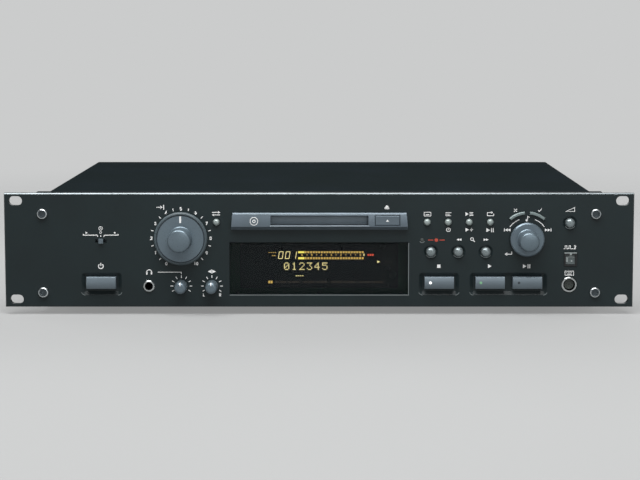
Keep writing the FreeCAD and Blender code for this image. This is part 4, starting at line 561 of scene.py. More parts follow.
def settle(name: str, verts: list[Place], faces: list[list[int]], finish: Finish, body: str) -> bpy.types.Object:
    """Makes an object with outward faces, a finish and a body to ride on.

    Args:
        name: The object's name.
        verts: Its corners in metres, in the row frame.
        faces: Its faces by their corners' numbers.
        finish: What it is made of.
        body: The body that it rides on.

    Returns:
        The object.
    """
    data = bpy.data.meshes.new(name)
    data.from_pydata(verts, [], faces)
    data.validate()
    form = bmesh.new()
    form.from_mesh(data)
    bmesh.ops.remove_doubles(form, verts=form.verts, dist=1e-7)
    bmesh.ops.recalc_face_normals(form, faces=form.faces)
    form.to_mesh(data)
    form.free()
    data.materials.append(finish.material())
    piece = place_object(name, data)
    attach(piece, body)
    LOG.info("%s rides on %s", name, body)
    return piece


def soften(piece: bpy.types.Object, crease: float) -> None:
    """Shades a piece smooth, apart from the edges that turn by more than crease degrees."""
    piece.data.shade_smooth()
    piece.data.set_sharp_from_angle(angle=math.radians(crease))


def around(x: float, z: float, radius: float, degrees: float) -> Point:
    """Finds the point at a radius and an angle, from +x towards +z, around a place."""
    return x + radius * math.cos(math.radians(degrees)), z + radius * math.sin(math.radians(degrees))


class Marks:
    """Collects flat marks as thin closed prisms, in millimetres from the middle of the panel's lower edge."""

    def __init__(self, front: float = 0.0, back: float = 0.0) -> None:
        """Starts with no marks.

        Args:
            front: How deep the marks' front lies behind the panel's face.
            back: How deep their back lies.
        """
        self.front, self.back = front, back
        self.x, self.z, self.size = 0.0, 0.0, 1.0
        self.verts: list[Place] = []
        self.faces: list[list[int]] = []

    def draw(self, shapes: Shapes, x: float = 0.0, z: float = 0.0, size: float = 1.0) -> None:
        """Adds several marks around a place.

        Args:
            shapes: Each mark's method here, and what it takes.
            x: The place across, which is 0 for the marks.
            z: The place up.
            size: How long 1 is for the marks.
        """
        self.x, self.z, self.size = x, z, size
        for method, *values in shapes:
            getattr(self, method)(*values)
        self.x, self.z, self.size = 0.0, 0.0, 1.0

    def strip(self, left: list[Point], right: list[Point], closed: bool = False) -> None:
        """Adds a prism between two outlines.

        Args:
            left: The points on one side.
            right: As many points on the other side.
            closed: True for a loop that meets its own start.
        """
        rows = []
        for pair in zip(left, right):
            a, b = ((self.x + x * self.size, self.z + z * self.size) for x, z in pair)
            rows.append([(x, depth, z) for (x, z), depth in
                         ((a, self.front), (b, self.front), (b, self.back), (a, self.back))])
        self.prism(rows, closed)

    def prism(self, rows: list[list[Place]], closed: bool = False) -> None:
        """Adds a prism.

        Args:
            rows: Its four corners at each place along it, as across, depth and up in millimetres.
            closed: True for a loop that meets its own start.
        """
        first, count = len(self.verts), len(rows)
        self.verts += [row_place(*corner) for row in rows for corner in row]
        for i in range(count if closed else count - 1):
            a, b = first + i * 4, first + (i + 1) % count * 4
            self.faces += [[a + k, a + (k + 1) % 4, b + (k + 1) % 4, b + k] for k in range(4)]
        if not closed:
            end = first + (count - 1) * 4
            self.faces += [[first + k for k in (3, 2, 1, 0)], [end + k for k in range(4)]]

    def line(self, width: float, points: list[Point], closed: bool = False, sharpest: float = 0.4) -> None:
        """Adds a line of an even width with mitred corners.

        Args:
            width: The line's width.
            points: The corners along its middle.
            closed: True for a loop.
            sharpest: The least share of the width that a mitre's own width is worked out from.
        """
        count = len(points)
        left, right = [], []
        for i, (x, z) in enumerate(points):
            before = points[i - 1] if closed or i else None
            after = points[(i + 1) % count] if closed or i < count - 1 else None
            normals = []
            for start, end in ((before, (x, z)), ((x, z), after)):
                if start and end:
                    along = Vector((end[0] - start[0], end[1] - start[1])).normalized()
                    normals.append(Vector((-along.y, along.x)))
            across = sum(normals, Vector((0, 0))).normalized()
            reach = width / 2 / max(sharpest, across.dot(normals[0]))
            left.append((x + across.x * reach, z + across.y * reach))
            right.append((x - across.x * reach, z - across.y * reach))
        self.strip(left, right, closed)

    def block(self, x0: float, z0: float, x1: float, z1: float, slant: float = 0.0) -> None:
        """Adds a rectangle, which leans right by slant times its height."""
        lean = slant * (z1 - z0)
        self.strip([(x0, z0), (x0 + lean, z1)], [(x1, z0), (x1 + lean, z1)])

    def hoop(self, x: float, z: float, inner: float, outer: float, start: float = 0.0,
             end: float = 360.0) -> None:
        """Adds a ring, or its part between two angles.

        Args:
            x: The middle, across.
            z: The middle, up.
            inner: The inner radius.
            outer: The outer radius.
            start: The first angle in degrees, from +x towards +z.
            end: The last angle.
        """
        whole = end - start >= 360
        steps = max(2, round((end - start) / ARC_STEP))
        angles = [start + (end - start) * i / steps for i in range(steps + (not whole))]
        self.strip([around(x, z, inner, a) for a in angles], [around(x, z, outer, a) for a in angles], whole)

    def disc(self, x: float, z: float, radius: float) -> None:
        """Adds a round spot.

        Args:
            x: Its middle, across.
            z: Its middle, up.
            radius: Its radius.
        """
        steps = round(180 / ARC_STEP)
        turns = [180 * i / steps for i in range(steps + 1)]
        upper, lower = ([around(x, z, radius, side * turn) for turn in turns] for side in (1, -1))
        self.strip(upper, lower)

    def wedge(self, x: float, z: float, long: float, wide: float, turn: float = 0.0) -> None:
        """Adds a triangle that points to +x before it is turned.

        Args:
            x: The middle, across.
            z: The middle, up.
            long: Its length towards the point.
            wide: Its base.
            turn: Degrees that it is turned by, from +x towards +z.
        """
        cos, sin = math.cos(math.radians(turn)), math.sin(math.radians(turn))
        spots = [(-long / 2, -wide / 2), (long / 2, 0), (-long / 2, wide / 2), (long / 2, 0)]
        placed = [(x + a * cos - b * sin, z + a * sin + b * cos) for a, b in spots]
        self.strip(placed[:2], placed[2:])

    def tick(self, width: float, near: float, far: float, turn: float) -> None:
        """Adds a line that runs outwards around 0, 0, between two radii and at an angle in degrees."""
        self.line(width, [around(0, 0, near, turn), around(0, 0, far, turn)])

    def figures(self, text: str, x: float, z: float, high: float, weight: float = 0.25,
                pitch: float = 0.86) -> None:
        """Adds printed figures, centred on a place.

        Args:
            text: The figures.
            x: The middle, across.
            z: The middle, up.
            high: The figures' height.
            weight: The strokes' width as a share of the height.
            pitch: From figure to figure, as a share of the height.
        """
        for place, figure in enumerate(text):
            shift = (place - (len(text) - 1) / 2) * pitch
            for points, closed in strokes(figure):
                self.line(weight * high, [(x + (a + shift) * high, z + b * high) for a, b in points], closed)

    def mesh(self, name: str, finish: Finish, body: str) -> None:
        """Makes the object that holds all marks. What it takes is what settle takes."""
        settle(name, self.verts, self.faces, finish, body)


def strokes(figure: str) -> list[tuple[list[Point], bool]]:
    """Gives a printed figure's strokes in a box 0.6 wide and 1 high, centred on 0, 0.

    Args:
        figure: One of the figures 0 to 9, or L or R.

    Returns:
        Each stroke's points and whether it is a loop.
    """
    def bow(x: float, z: float, wide: float, high: float, start: float = 0, end: float = 345) -> list[Point]:
        """Gives points along an ellipse between two angles in degrees."""
        steps = max(3, round(abs(end - start) / 24))
        turns = [math.radians(start + (end - start) * i / steps) for i in range(steps + 1)]
        return [(x + wide * math.cos(t), z + high * math.sin(t)) for t in turns]

    return {
        "0": [(bow(0, 0, 0.28, 0.5), True)],
        "1": [([(-0.16, 0.32), (0.04, 0.5), (0.04, -0.5)], False)],
        "2": [(bow(0, 0.22, 0.27, 0.28, 165, -35) + [(-0.28, -0.48), (0.3, -0.48)], False)],
        "3": [(bow(-0.02, 0.24, 0.26, 0.25, 150, -90) + bow(-0.02, -0.24, 0.29, 0.26, 80, -150), False)],
        "4": [([(0.3, -0.22), (-0.3, -0.22), (0.12, 0.5), (0.12, -0.5)], False)],
        "5": [([(0.26, 0.48), (-0.2, 0.48), (-0.24, 0.06)] + bow(0, -0.18, 0.28, 0.32, 130, -150), False)],
        "6": [(bow(0, -0.24, 0.28, 0.26), True), ([(-0.27, -0.2), (-0.2, 0.2), (0.14, 0.5)], False)],
        "7": [([(-0.28, 0.48), (0.28, 0.48), (-0.08, -0.5)], False)],
        "8": [(bow(0, 0.24, 0.25, 0.24), True), (bow(0, -0.24, 0.28, 0.26), True)],
        "9": [(bow(0, 0.22, 0.28, 0.26), True), ([(0.27, 0.2), (0.2, -0.2), (-0.14, -0.5)], False)],
        "L": [([(-0.22, 0.5), (-0.22, -0.46), (0.26, -0.46)], False)],
        "R": [([(-0.24, -0.5), (-0.24, 0.46), (0.06, 0.46)] + bow(0.04, 0.23, 0.22, 0.22, 80, -80)
               + [(-0.2, 0.0)], False), ([(0.02, 0.0), (0.28, -0.5)], False)],
    }[figure]


class Icon(Enum):
    """Plain symbols for the controls, as marks in a square from -1 to 1."""

    PLAY = (("wedge", 0, 0, 1.8, 2.0),)
    STOP = (("block", -0.85, -0.85, 0.85, 0.85),)
    SPOT = (("disc", 0, 0, 0.9),)
    CIRCLE = (("hoop", 0, 0, 0.62, 0.95),)
    READY = (("wedge", -1.1, 0, 1.7, 2.0), ("block", 0.3, -1, 0.75, 1), ("block", 1.15, -1, 1.6, 1))
    BACK = (("wedge", -0.8, 0, 1.6, 1.7, 180), ("wedge", 0.8, 0, 1.6, 1.7, 180))
    FORWARD = (("wedge", -0.8, 0, 1.6, 1.7), ("wedge", 0.8, 0, 1.6, 1.7))
    TRACK_BACK = (("wedge", -0.7, 0, 1.5, 1.6, 180), ("wedge", 0.8, 0, 1.5, 1.6, 180),
                  ("block", -2.0, -0.85, -1.6, 0.85))
    TRACK_NEXT = (("wedge", -0.8, 0, 1.5, 1.6), ("wedge", 0.7, 0, 1.5, 1.6), ("block", 1.6, -0.85, 2.0, 0.85))
    EJECT = (("wedge", 0, 0.3, 1.3, 2.3, 90), ("block", -1.15, -1.0, 1.15, -0.62))
    UP = (("wedge", 0, 0, 1.4, 2.2, 90),)
    POWER = (("hoop", 0, 0, 0.72, 1.05, 125, 415), ("block", -0.17, 0.1, 0.17, 1.2))
    CLOCK = (("hoop", 0, 0, 0.78, 1.05), ("line", 0.28, ((0, 0.62), (0, 0), (0.45, -0.2))))
    SOURCE = (("line", 0.3, ((-1.9, 0), (0.3, 0))), ("wedge", 0.5, 0, 1.1, 1.5),
              ("block", 1.3, -1.1, 1.7, 1.1))
    SWAP = (("line", 0.28, ((-1.6, 0.5), (0.9, 0.5))), ("wedge", 1.2, 0.5, 0.9, 1.0),
            ("line", 0.28, ((1.6, -0.5), (-0.9, -0.5))), ("wedge", -1.2, -0.5, 0.9, 1.0, 180))
    PHONES = (("hoop", 0, -0.2, 0.85, 1.15, 0, 180), ("block", -1.2, -1.1, -0.65, -0.1),
              ("block", 0.65, -1.1, 1.2, -0.1))
    BALANCE = (("wedge", -1.1, 0, 1.7, 1.6, 180), ("wedge", 1.1, 0, 1.7, 1.6),
               ("block", -0.14, -1.0, 0.14, 1.0))
    SCREEN = (("line", 0.25, ((-1.6, -0.9), (1.6, -0.9), (1.6, 0.9), (-1.6, 0.9)), True),
              ("block", -0.9, -0.35, 0.9, -0.05))
    LINES = (("block", -1.4, 0.6, 1.4, 0.88), ("block", -1.4, -0.14, 0.7, 0.14),
             ("block", -1.4, -0.88, 1.1, -0.6))
    LIST = (("wedge", -1.1, 0, 1.3, 1.7), ("block", 0, 0.5, 1.6, 0.78), ("block", 0, -0.14, 1.6, 0.14),
            ("block", 0, -0.78, 1.6, -0.5))
    LOOP = (("line", 0.28, ((0.5, 0.7), (-1.4, 0.7), (-1.4, -0.7), (1.4, -0.7), (1.4, 0.2))),
            ("wedge", 0.7, 0.7, 0.9, 1.1))
    PLUS = (("wedge", -1.0, 0, 1.6, 1.8), ("block", 0.2, -0.15, 1.6, 0.15), ("block", 0.75, -0.7, 1.05, 0.7))
    LENS = (("hoop", -0.25, 0.25, 0.5, 0.8), ("line", 0.34, ((0.3, -0.3), (1.0, -1.0))))
    CROSS = (("line", 0.34, ((-0.8, -0.8), (0.8, 0.8))), ("line", 0.34, ((-0.8, 0.8), (0.8, -0.8))))
    CHECK = (("line", 0.36, ((-1.0, 0.0), (-0.3, -0.75), (1.0, 0.85))),)
    NOTE = (("disc", -0.45, -0.7, 0.5), ("line", 0.26, ((-0.1, -0.7), (-0.1, 1.0), (0.8, 0.6))))
    ENTER = (("line", 0.3, ((1.4, 0.9), (1.4, -0.2), (-0.9, -0.2))), ("wedge", -1.0, -0.2, 1.1, 1.4, 180))
    FADE = (("line", 0.24, ((-1.9, -0.8), (1.9, -0.8), (1.9, 0.9)), True),)
    PULSES = (("line", 0.28, ((-2.2, -0.7), (-1.5, -0.7), (-1.5, 0.7), (-0.7, 0.7), (-0.7, -0.7),
                              (0.3, -0.7), (0.3, 0.7), (1.0, 0.7), (1.0, -0.7), (2.2, -0.7))),)
    TYPING = (("line", 0.24, ((-2.1, -1.0), (2.1, -1.0), (2.1, 1.0), (-2.1, 1.0)), True),
              ("block", -1.5, 0.25, -1.1, 0.6), ("block", -0.7, 0.25, -0.3, 0.6),
              ("block", 0.1, 0.25, 0.5, 0.6), ("block", 0.9, 0.25, 1.3, 0.6),
              ("block", -1.2, -0.6, 1.2, -0.28))
    TAKE = (("disc", 0, 0, 0.95), ("block", -4.6, -0.2, -1.7, 0.2), ("block", 1.7, -0.2, 4.6, 0.2))


@dataclass(frozen=True)
class Trim:
    """One small piece of flat marks: its name, finish, body and slot, how deep it lies and what it shows.

    The marks lie around the place at, and 1 is size long for them.
    """

    name: str
    finish: Finish
    body: str
    slot: str
    depths: Point
    shapes: Shapes
    at: Point = (0.0, 0.0)
    size: float = 1.0

    def build(self) -> None:
        """Builds the piece."""
        marks = Marks(*self.depths)
        marks.draw(self.shapes, *self.at, self.size)
        marks.mesh(self.name, self.finish, self.body)


@dataclass
class PanelPrint:
    """The white symbols, scales and lines that are screen printed on the panel."""

    depths: Point = (-0.05, 0.05)
    line: float = 0.62
    grow: float = 1.22
    timer: Point = (-167.4, 55.7)
    trim_ticks: Point = (6.3, 8.3)
    track_ring: Point = (16.0, 16.55)
    track_arcs: tuple[Point, ...] = ((111.5, 144.5), (35.5, 68.5))
    symbols: tuple[tuple[Icon, float, float, float], ...] = (
        (Icon.CLOCK, -167.4, 60.9, 1.25), (Icon.PLAY, -178.2, 57.5, 0.75), (Icon.CIRCLE, -167.4, 57.7, 0.8),
        (Icon.POWER, -167.6, 31.6, 1.7), (Icon.SOURCE, -121.4, 77.2, 1.35), (Icon.SWAP, -78.9, 72.3, 1.6),
        (Icon.PHONES, -130.6, 27.3, 1.6), (Icon.BALANCE, -82.4, 27.5, 1.35), (Icon.EJECT, 51.9, 77.4, 1.3),
        (Icon.SCREEN, 83.0, 71.9, 1.3), (Icon.LINES, 99.1, 71.9, 1.3), (Icon.LIST, 115.2, 72.0, 1.45),
        (Icon.LOOP, 131.3, 71.9, 1.4), (Icon.CLOCK, 99.1, 59.9, 1.35), (Icon.PLUS, 115.2, 59.9, 1.35),
        (Icon.READY, 131.3, 59.6, 1.3), (Icon.BACK, 107.3, 52.2, 0.95), (Icon.LENS, 117.7, 52.2, 1.4),
        (Icon.FORWARD, 128.0, 52.2, 0.95), (Icon.STOP, 91.9, 31.6, 1.25), (Icon.PLAY, 131.1, 31.6, 1.3),
        (Icon.READY, 159.6, 31.6, 1.3), (Icon.NOTE, 159.8, 68.4, 1.4), (Icon.TRACK_BACK, 144.5, 59.7, 1.15),
        (Icon.TRACK_NEXT, 175.2, 59.7, 1.15), (Icon.ENTER, 145.2, 41.3, 1.5), (Icon.CROSS, 150.4, 74.9, 1.15),
        (Icon.CHECK, 169.0, 75.0, 1.15), (Icon.FADE, 192.3, 75.4, 1.45), (Icon.PULSES, 191.2, 46.3, 1.35),
        (Icon.TYPING, 192.2, 26.2, 1.3))
    letters: Shapes = (("figures", "2", 196.2, 46.3, 2.4), ("figures", "L", -88.6, 9.3, 2.1),
                       ("figures", "R", -76.2, 9.3, 2.1))

    def build(self) -> None:
        """Builds the print."""
        white = Marks(*self.depths)
        for icon, x, z, size in self.symbols:
            white.draw(icon.value, x, z, size * self.grow)
        white.draw(self.letters)
        white.draw(Icon.SPOT.value, -156.6, 57.5, 0.75)
        white.draw(self.timer_bracket(), *self.timer)
        white.draw(self.input_scale(), *middle("input_knob"))
        for knob in ("phones_knob", "balance_knob"):
            ticks = [("tick", self.line * 0.9, *self.trim_ticks, 210 - place * 30) for place in range(9)]
            white.draw(ticks, *middle(knob))
        x = middle("phones_knob")[0]
        white.line(self.line * 0.8, [(-124.0, 27.0), (x, 27.0), (x, 25.4)])
        white.draw([("hoop", 0, 0, *self.track_ring, *arc) for arc in self.track_arcs], *middle("track_knob"))
        white.mesh("panel_print_white", INK, "deck")

    def timer_bracket(self) -> Shapes:
        """Gives the bracket that joins the timer's three places."""
        half = self.line / 2
        corners = ((13.3, 0.9), (13.3, 0), (3.0, 0), (2.2, -1.2))
        arms = [("line", self.line, [(side * x, z) for x, z in corners]) for side in (-1, 1)]
        return (*arms, ("block", -half, -1.3, half, -0.2))

    def input_scale(self, ring: float = 22.7, high: float = 2.1, half: float = 1.0) -> Shapes:
        """Gives the figures 0 to 10 around the input dial, with a tick between each two.

        Args:
            ring: The radius at which the scale stands.
            high: The figures' height.
            half: Half a tick's length.

        Returns:
            The figures and ticks, around the dial's middle.
        """
        turns = [240 - place * 15 for place in range(21)]
        return tuple(("tick", self.line, ring - half, ring + half, turn) if place % 2 else
                     ("figures", str(place // 2), *around(0, 0, ring, turn), high, 0.33)
                     for place, turn in enumerate(turns))


# The segments of a seven-segment figure, and the dots of five-by-seven figures as bits, row by row.
SEVEN = {"0": "abcdef", "1": "bc"}
MATRIX = {
    "0": (14, 17, 19, 21, 25, 17, 14), "1": (4, 12, 4, 4, 4, 4, 14), "2": (14, 17, 1, 2, 4, 8, 31),
    "3": (31, 2, 4, 2, 1, 17, 14), "4": (2, 6, 10, 18, 31, 2, 2), "5": (31, 16, 30, 1, 1, 17, 14)}


def blocks(starts: tuple[float, ...], low: float, long: float, high: float) -> Shapes:
    """Gives a row of equal blocks, each long and high, that start at these places across."""
    return tuple(("block", x, low, x + long, low + high) for x in starts)


@dataclass
class Display:
    """The lit segments, meters and figures on the front of the display tube."""

    depths: Point = (7.35, 7.6)
    slant: float = 0.16
    bar: float = 0.5
    join: float = 0.15
    figures: tuple[tuple[float, str], ...] = ((-31.9, "0"), (-26.6, "0"), (-21.6, "1"))
    figures_z: float = 36.1
    block_long: float = 1.5
    block_pitch: float = 2.1
    meter_rows: tuple[Point, ...] = ((40.56, 42.03), (35.8, 37.4))
    meter_start: float = -16.2
    meter_end: float = 33.4
    bright_end: float = -11.5
    scale_start: float = -13.2
    scale_z: float = 39.2
    scale_pitch: float = 3.75
    scale_high: float = 1.5
    scale_places: int = 13
    cells: str = "012345"
    cells_at: Point = (-27.2, 27.5)
    cell_pitch: float = 5.9
    dot: float = 0.84
    dot_side: float = 0.66
    legends: tuple[Point, ...] = ((3.2, 0.8), (4.6, 1.6), (2.4, 0.7), (5.4, 3.0))
    legends_span: Point = (-34.2, 46.0)

    def build(self) -> None:
        """Builds each colour's marks as one piece."""
        pale = [shape for x, figure in self.figures for shape in self.seven(x, figure)]
        pale += [*self.dots(), ("wedge", 46.0, 33.8, 2.3, 2.0),
                 ("figures", "0", 34.6, self.scale_z, self.scale_high),
                 *blocks((-18.2, -16.6, -15.0, -13.4), 22.6, 1.2, 0.55)]
        amber = [*self.meters(), *self.scale(), *blocks((-39.2, -37.6, -36.0, -34.4), 40.85, 1.1, 0.4),
                 *blocks((-36.4, -34.9), 38.35, 1.1, 0.6), *blocks((-39.4, -37.6), 17.0, 1.5, 2.0)]
        yellow = [("block", self.meter_start, low, self.bright_end, high) for low, high in self.meter_rows]
        red = blocks((37.3, 39.0, 40.7), 38.5, 1.35, 1.4)
        painted_glow = [*blocks((51.0, 53.0, 55.0), 33.5, 1.3, 0.6), *self.unlit()]
        for name, finish, shapes in (("figures", PALE, pale), ("meters", AMBER, amber),
                                     ("meter_starts", YELLOW, yellow), ("over", RED, red),
                                     ("unlit", UNLIT_PAINTED_GLOW, painted_glow)):
            Trim("display_" + name, finish, "deck", "tube", self.depths, shapes).build()

    def seven(self, x: float, figure: str, wide: float = 3.5, high: float = 5.8) -> Shapes:
        """Gives one slanted seven-segment figure.

        Args:
            x: Its left foot.
            figure: A key of SEVEN.
            wide: Its width.
            high: Its height.

        Returns:
            Its segments.
        """
        bar, near, far, half, top = self.bar, self.join, wide - self.bar, high / 2, high - self.join
        spans = {"a": (bar, high - bar, far, high), "b": (far, half + near, wide, top),
                 "c": (far, near, wide, half - near), "d": (bar, 0, far, bar),
                 "e": (0, near, bar, half - near), "f": (0, half + near, bar, top)}
        return tuple(("block", x + x0 + self.slant * z0, self.figures_z + z0, x + x1 + self.slant * z0,
                      self.figures_z + z1, self.slant)
                     for x0, z0, x1, z1 in (spans[segment] for segment in SEVEN[figure]))

    def dots(self) -> Shapes:
        """Gives the row of five-by-seven dot figures."""
        x, z = self.cells_at
        places = [(x + cell * self.cell_pitch + column * self.dot, z + (6 - row) * self.dot)
                  for cell, figure in enumerate(self.cells)
                  for row, bits in enumerate(MATRIX[figure])
                  for column in range(5) if bits >> (4 - column) & 1]
        return tuple(("block", left, low, left + self.dot_side, low + self.dot_side) for left, low in places)

    def meters(self) -> Shapes:
        """Gives the blocks of the two level meters."""
        start = self.bright_end + 0.25
        count = math.ceil((self.meter_end - start) / self.block_pitch)
        starts = tuple(start + place * self.block_pitch for place in range(count))
        return tuple(block for low, high in self.meter_rows
                     for block in blocks(starts, low, self.block_long, high - low))

    def scale(self) -> Shapes:
        """Gives the scale between the meters: the figures 6 to 0, with a dot between each two."""
        z, high, count = self.scale_z, self.scale_high, self.scale_places
        places = [(place, self.scale_start + place * self.scale_pitch) for place in range(count)]
        return tuple(("disc", x, z, 0.38) if place % 2 else
                     ("figures", str((count - place) // 2), x, z, high, 0.24) for place, x in places)

    def unlit(self) -> Shapes:
        """Gives the row of unlit legends along the tube's foot, which get a faint painted glow."""
        (x, end), found = self.legends_span, []
        while x < end:
            long, gap = self.legends[len(found) % len(self.legends)]
            found += blocks((x,), 17.6, long, 0.8)
            x += long + gap
        return tuple(found)


def over(node: str, proud: float, deep: float = 0.1) -> Point:
    """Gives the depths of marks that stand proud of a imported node's front and reach deep into it."""
    return front(node) - proud, front(node) + deep


LENS_DEPTHS = (-4.04, -3.54)
LENS_Z = 19.4
# The face of the large dials' foot, and how deep the input dial's groove is.
DIAL_FACE = -4.6
GROOVE_DEEP = 1.1
KEYBOARD = (192.2, 17.3)
JACK_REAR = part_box("rear_jacks")[1].y / MM - FACE
COLLAR_DEPTHS = (JACK_REAR - 7.8, JACK_REAR - 6.6)
COLLAR_PLACES = {"red": ((89, 30), (103, 30)), "white": ((89, 44), (103, 44)), "orange": ((40, 30), (40, 44))}

RED_PRINT = Trim("panel_print_red", INK_RED, "deck", "panel", PanelPrint.depths, Icon.TAKE.value,
                 (89.9, 51.9), 1.4)
KEY_TRIM = (
    *[Trim(key + "_lens", finish, key, "keys", LENS_DEPTHS, (("disc", x, LENS_Z, radius),))
      for key, finish, x, radius in (("stop_button", WHITE_LENS, 85.3, 1.1),
                                     ("play_button", GREEN_LENS, 124.0, 1.0),
                                     ("ready_button", DARK_LENS, 153.1, 1.0))],
    Trim("bezel_disc_mark", INK, "deck", "bezel", (-4.02, -3.1),
         (("hoop", 0, 0, 2.7, 3.2), ("hoop", 0, 0, 0.7, 1.3)), (-49.7, 66.9)),
    # Painted highlight along the slot's lower lip.
    Trim("slot_lower_edge_painted_highlight", LIP_PAINTED_HIGHLIGHT, "deck", "bezel", (-4.3, -3.1), (("block", -37.4, 62.9, 38.1, 63.55),)),
    Trim("eject_mark", INK, "eject_button", "bezel", over("eject_button", 0.05), Icon.UP.value,
         middle("eject_button"), 1.15),
    Trim("timer_ribs", KEYS, "timer_slider", "keys", over("timer_slider", 0.3),
         blocks((-1.2, -0.2, 0.8), -1.4, 0.4, 2.8), middle("timer_slider")),
    Trim("input_pointer", INK, "input_knob", "knobs", (DIAL_FACE - 0.05, DIAL_FACE + 0.1),
         (("block", -0.7, 12.4, 0.7, 17.5),), middle("input_knob")),
    # Painted shade in the input dial's groove.
    Trim("input_groove_painted_shade", GROOVE_PAINTED_SHADE, "input_knob", "knobs",
         (DIAL_FACE + GROOVE_DEEP - 0.04, DIAL_FACE + GROOVE_DEEP + 0.1),
         (("hoop", 0, 0, 17.85, 18.55),), middle("input_knob")),
)
SOCKET_TRIM = (
    Trim("keyboard_insert", INSERT, "deck", "black", (1.4, 7.05), (("disc", 0, 0, 3.6),), KEYBOARD),
    # Black discs and a block on the flat insert stand for its pin holes: painted shade, not real holes.
    Trim("keyboard_holes_painted_shade", BLACK, "deck", "black", (1.36, 1.5),
         (*[("disc", *around(0, 0, 2.2, turn), 0.42) for turn in (20, 70, 110, 160, 215, 325)],
          ("block", -0.7, -0.55, 0.7, 0.55)), KEYBOARD),
    # A pale T along the optical socket's top edge: painted highlight.
    Trim("optical_lip_painted_highlight", SHUTTER_RIB, "deck", "black", over("optical_socket", 0.05),
         (("block", -4.7, 4.5, 4.7, 5.2), ("block", -0.6, 3.4, 1.0, 4.6)), middle("optical_socket")),
    Trim("optical_ribs", SHUTTER_RIB, "optical_shutter", "black", over("optical_shutter", 0.1),
         (("block", -0.6, 1.9, 1.0, 3.1), ("block", -1.8, 1.2, 3.3, 1.8), ("block", -3.3, -2.4, -1.9, 1.6),
          ("block", 0.4, -2.2, 1.6, -0.9)), middle("optical_socket")),
    *[Trim(finish.name + "_collars", finish, "deck", "brass", COLLAR_DEPTHS,
           tuple(("hoop", x, high - BASE, 4.1, 5.9) for x, high in COLLAR_PLACES[tone]))
      for tone, finish in COLLARS.items()],
)


@dataclass
class RimHighlights:
    """Painted highlights: thin lines of bright bare metal on the panel's openings, only on the lower and right
    edges that face the light.

    The window's lower edge lies at foot, and the line at its side ends at head. The lamp and the round keys get
    arcs round their lower side, and each recess gets arcs at its lower corners. A recess's corners are round,
    and their middles lie recess away from a key's middle, and recess_z up.
    """

    depths: Point = (-0.04, 0.1)
    wide: float = 0.5
    window_half: float = 68.5
    foot: float = 9.4
    head: float = 49.7
    lamp: Point = (79.0, 51.8)
    lamp_radius: float = 1.65
    recesses: tuple[tuple[str, str], ...] = (("power", "power"), ("stop", "stop"), ("play", "ready"))
    corner: float = 3.0
    corner_wide: float = 0.35
    corner_arc: float = 68.0
    recess: float = 12.5
    recess_z: float = 12.3
    round_keys: tuple[str, ...] = ("record", "search_back", "search_forward", "fader")
    key_highlight_arc: Span = (4.25, 4.55, 212, 328)

    def build(self) -> None:
        """Builds all lines as one piece."""
        wide, centre = self.wide, middle("display_window")[0]
        right = centre + self.window_half
        shapes = [("block", centre - self.window_half, self.foot - wide, right + wide, self.foot),
                  ("block", right, self.foot, right + wide, self.head),
                  ("hoop", *self.lamp, self.lamp_radius, self.lamp_radius + wide, 205, 335)]
        for first, last in self.recesses:
            for name, side, start in ((first, -1, 200), (last, 1, 272)):
                x = middle(name + "_button")[0] + side * self.recess
                shapes.append(("hoop", x, self.recess_z, self.corner, self.corner + self.corner_wide, start,
                               start + self.corner_arc))
        shapes += [("hoop", *middle(name + "_button"), *self.key_highlight_arc) for name in self.round_keys]
        Trim("panel_rim_painted_highlights", RIM_PAINTED_HIGHLIGHT, "deck", "panel", self.depths, shapes).build()


@dataclass
class BentPointer:
    """A pointer that bends down over a small dial's domed edge, which starts at the radius flat.

    It stands proud of the dial by a little and is sunk into it at its back.
    """

    knob: str
    half: float = 0.4
    proud: float = 0.04
    sunk: float = 0.2
    start: float = 1.9
    end: float = 4.3
    reach: float = -11.0
    flat: float = 2.3
    dome: float = 2.6
    steps: int = 6

    def build(self) -> None:
        """Builds the pointer, from its end near the dial's middle."""
        x, z = middle(self.knob)
        rows = []
        for step in range(self.steps + 1):
            out = self.start + (self.end - self.start) * step / self.steps
            depth = self.reach + self.dome - math.sqrt(self.dome ** 2 - max(0.0, out - self.flat) ** 2)
            rows.append([(x + side * self.half, depth + into, z + out) for side, into in
                         ((-1, -self.proud), (1, -self.proud), (1, self.sunk), (-1, self.sunk))])
        marks = Marks()
        marks.prism(rows)
        marks.mesh(self.knob.replace("knob", "pointer"), INK, self.knob)


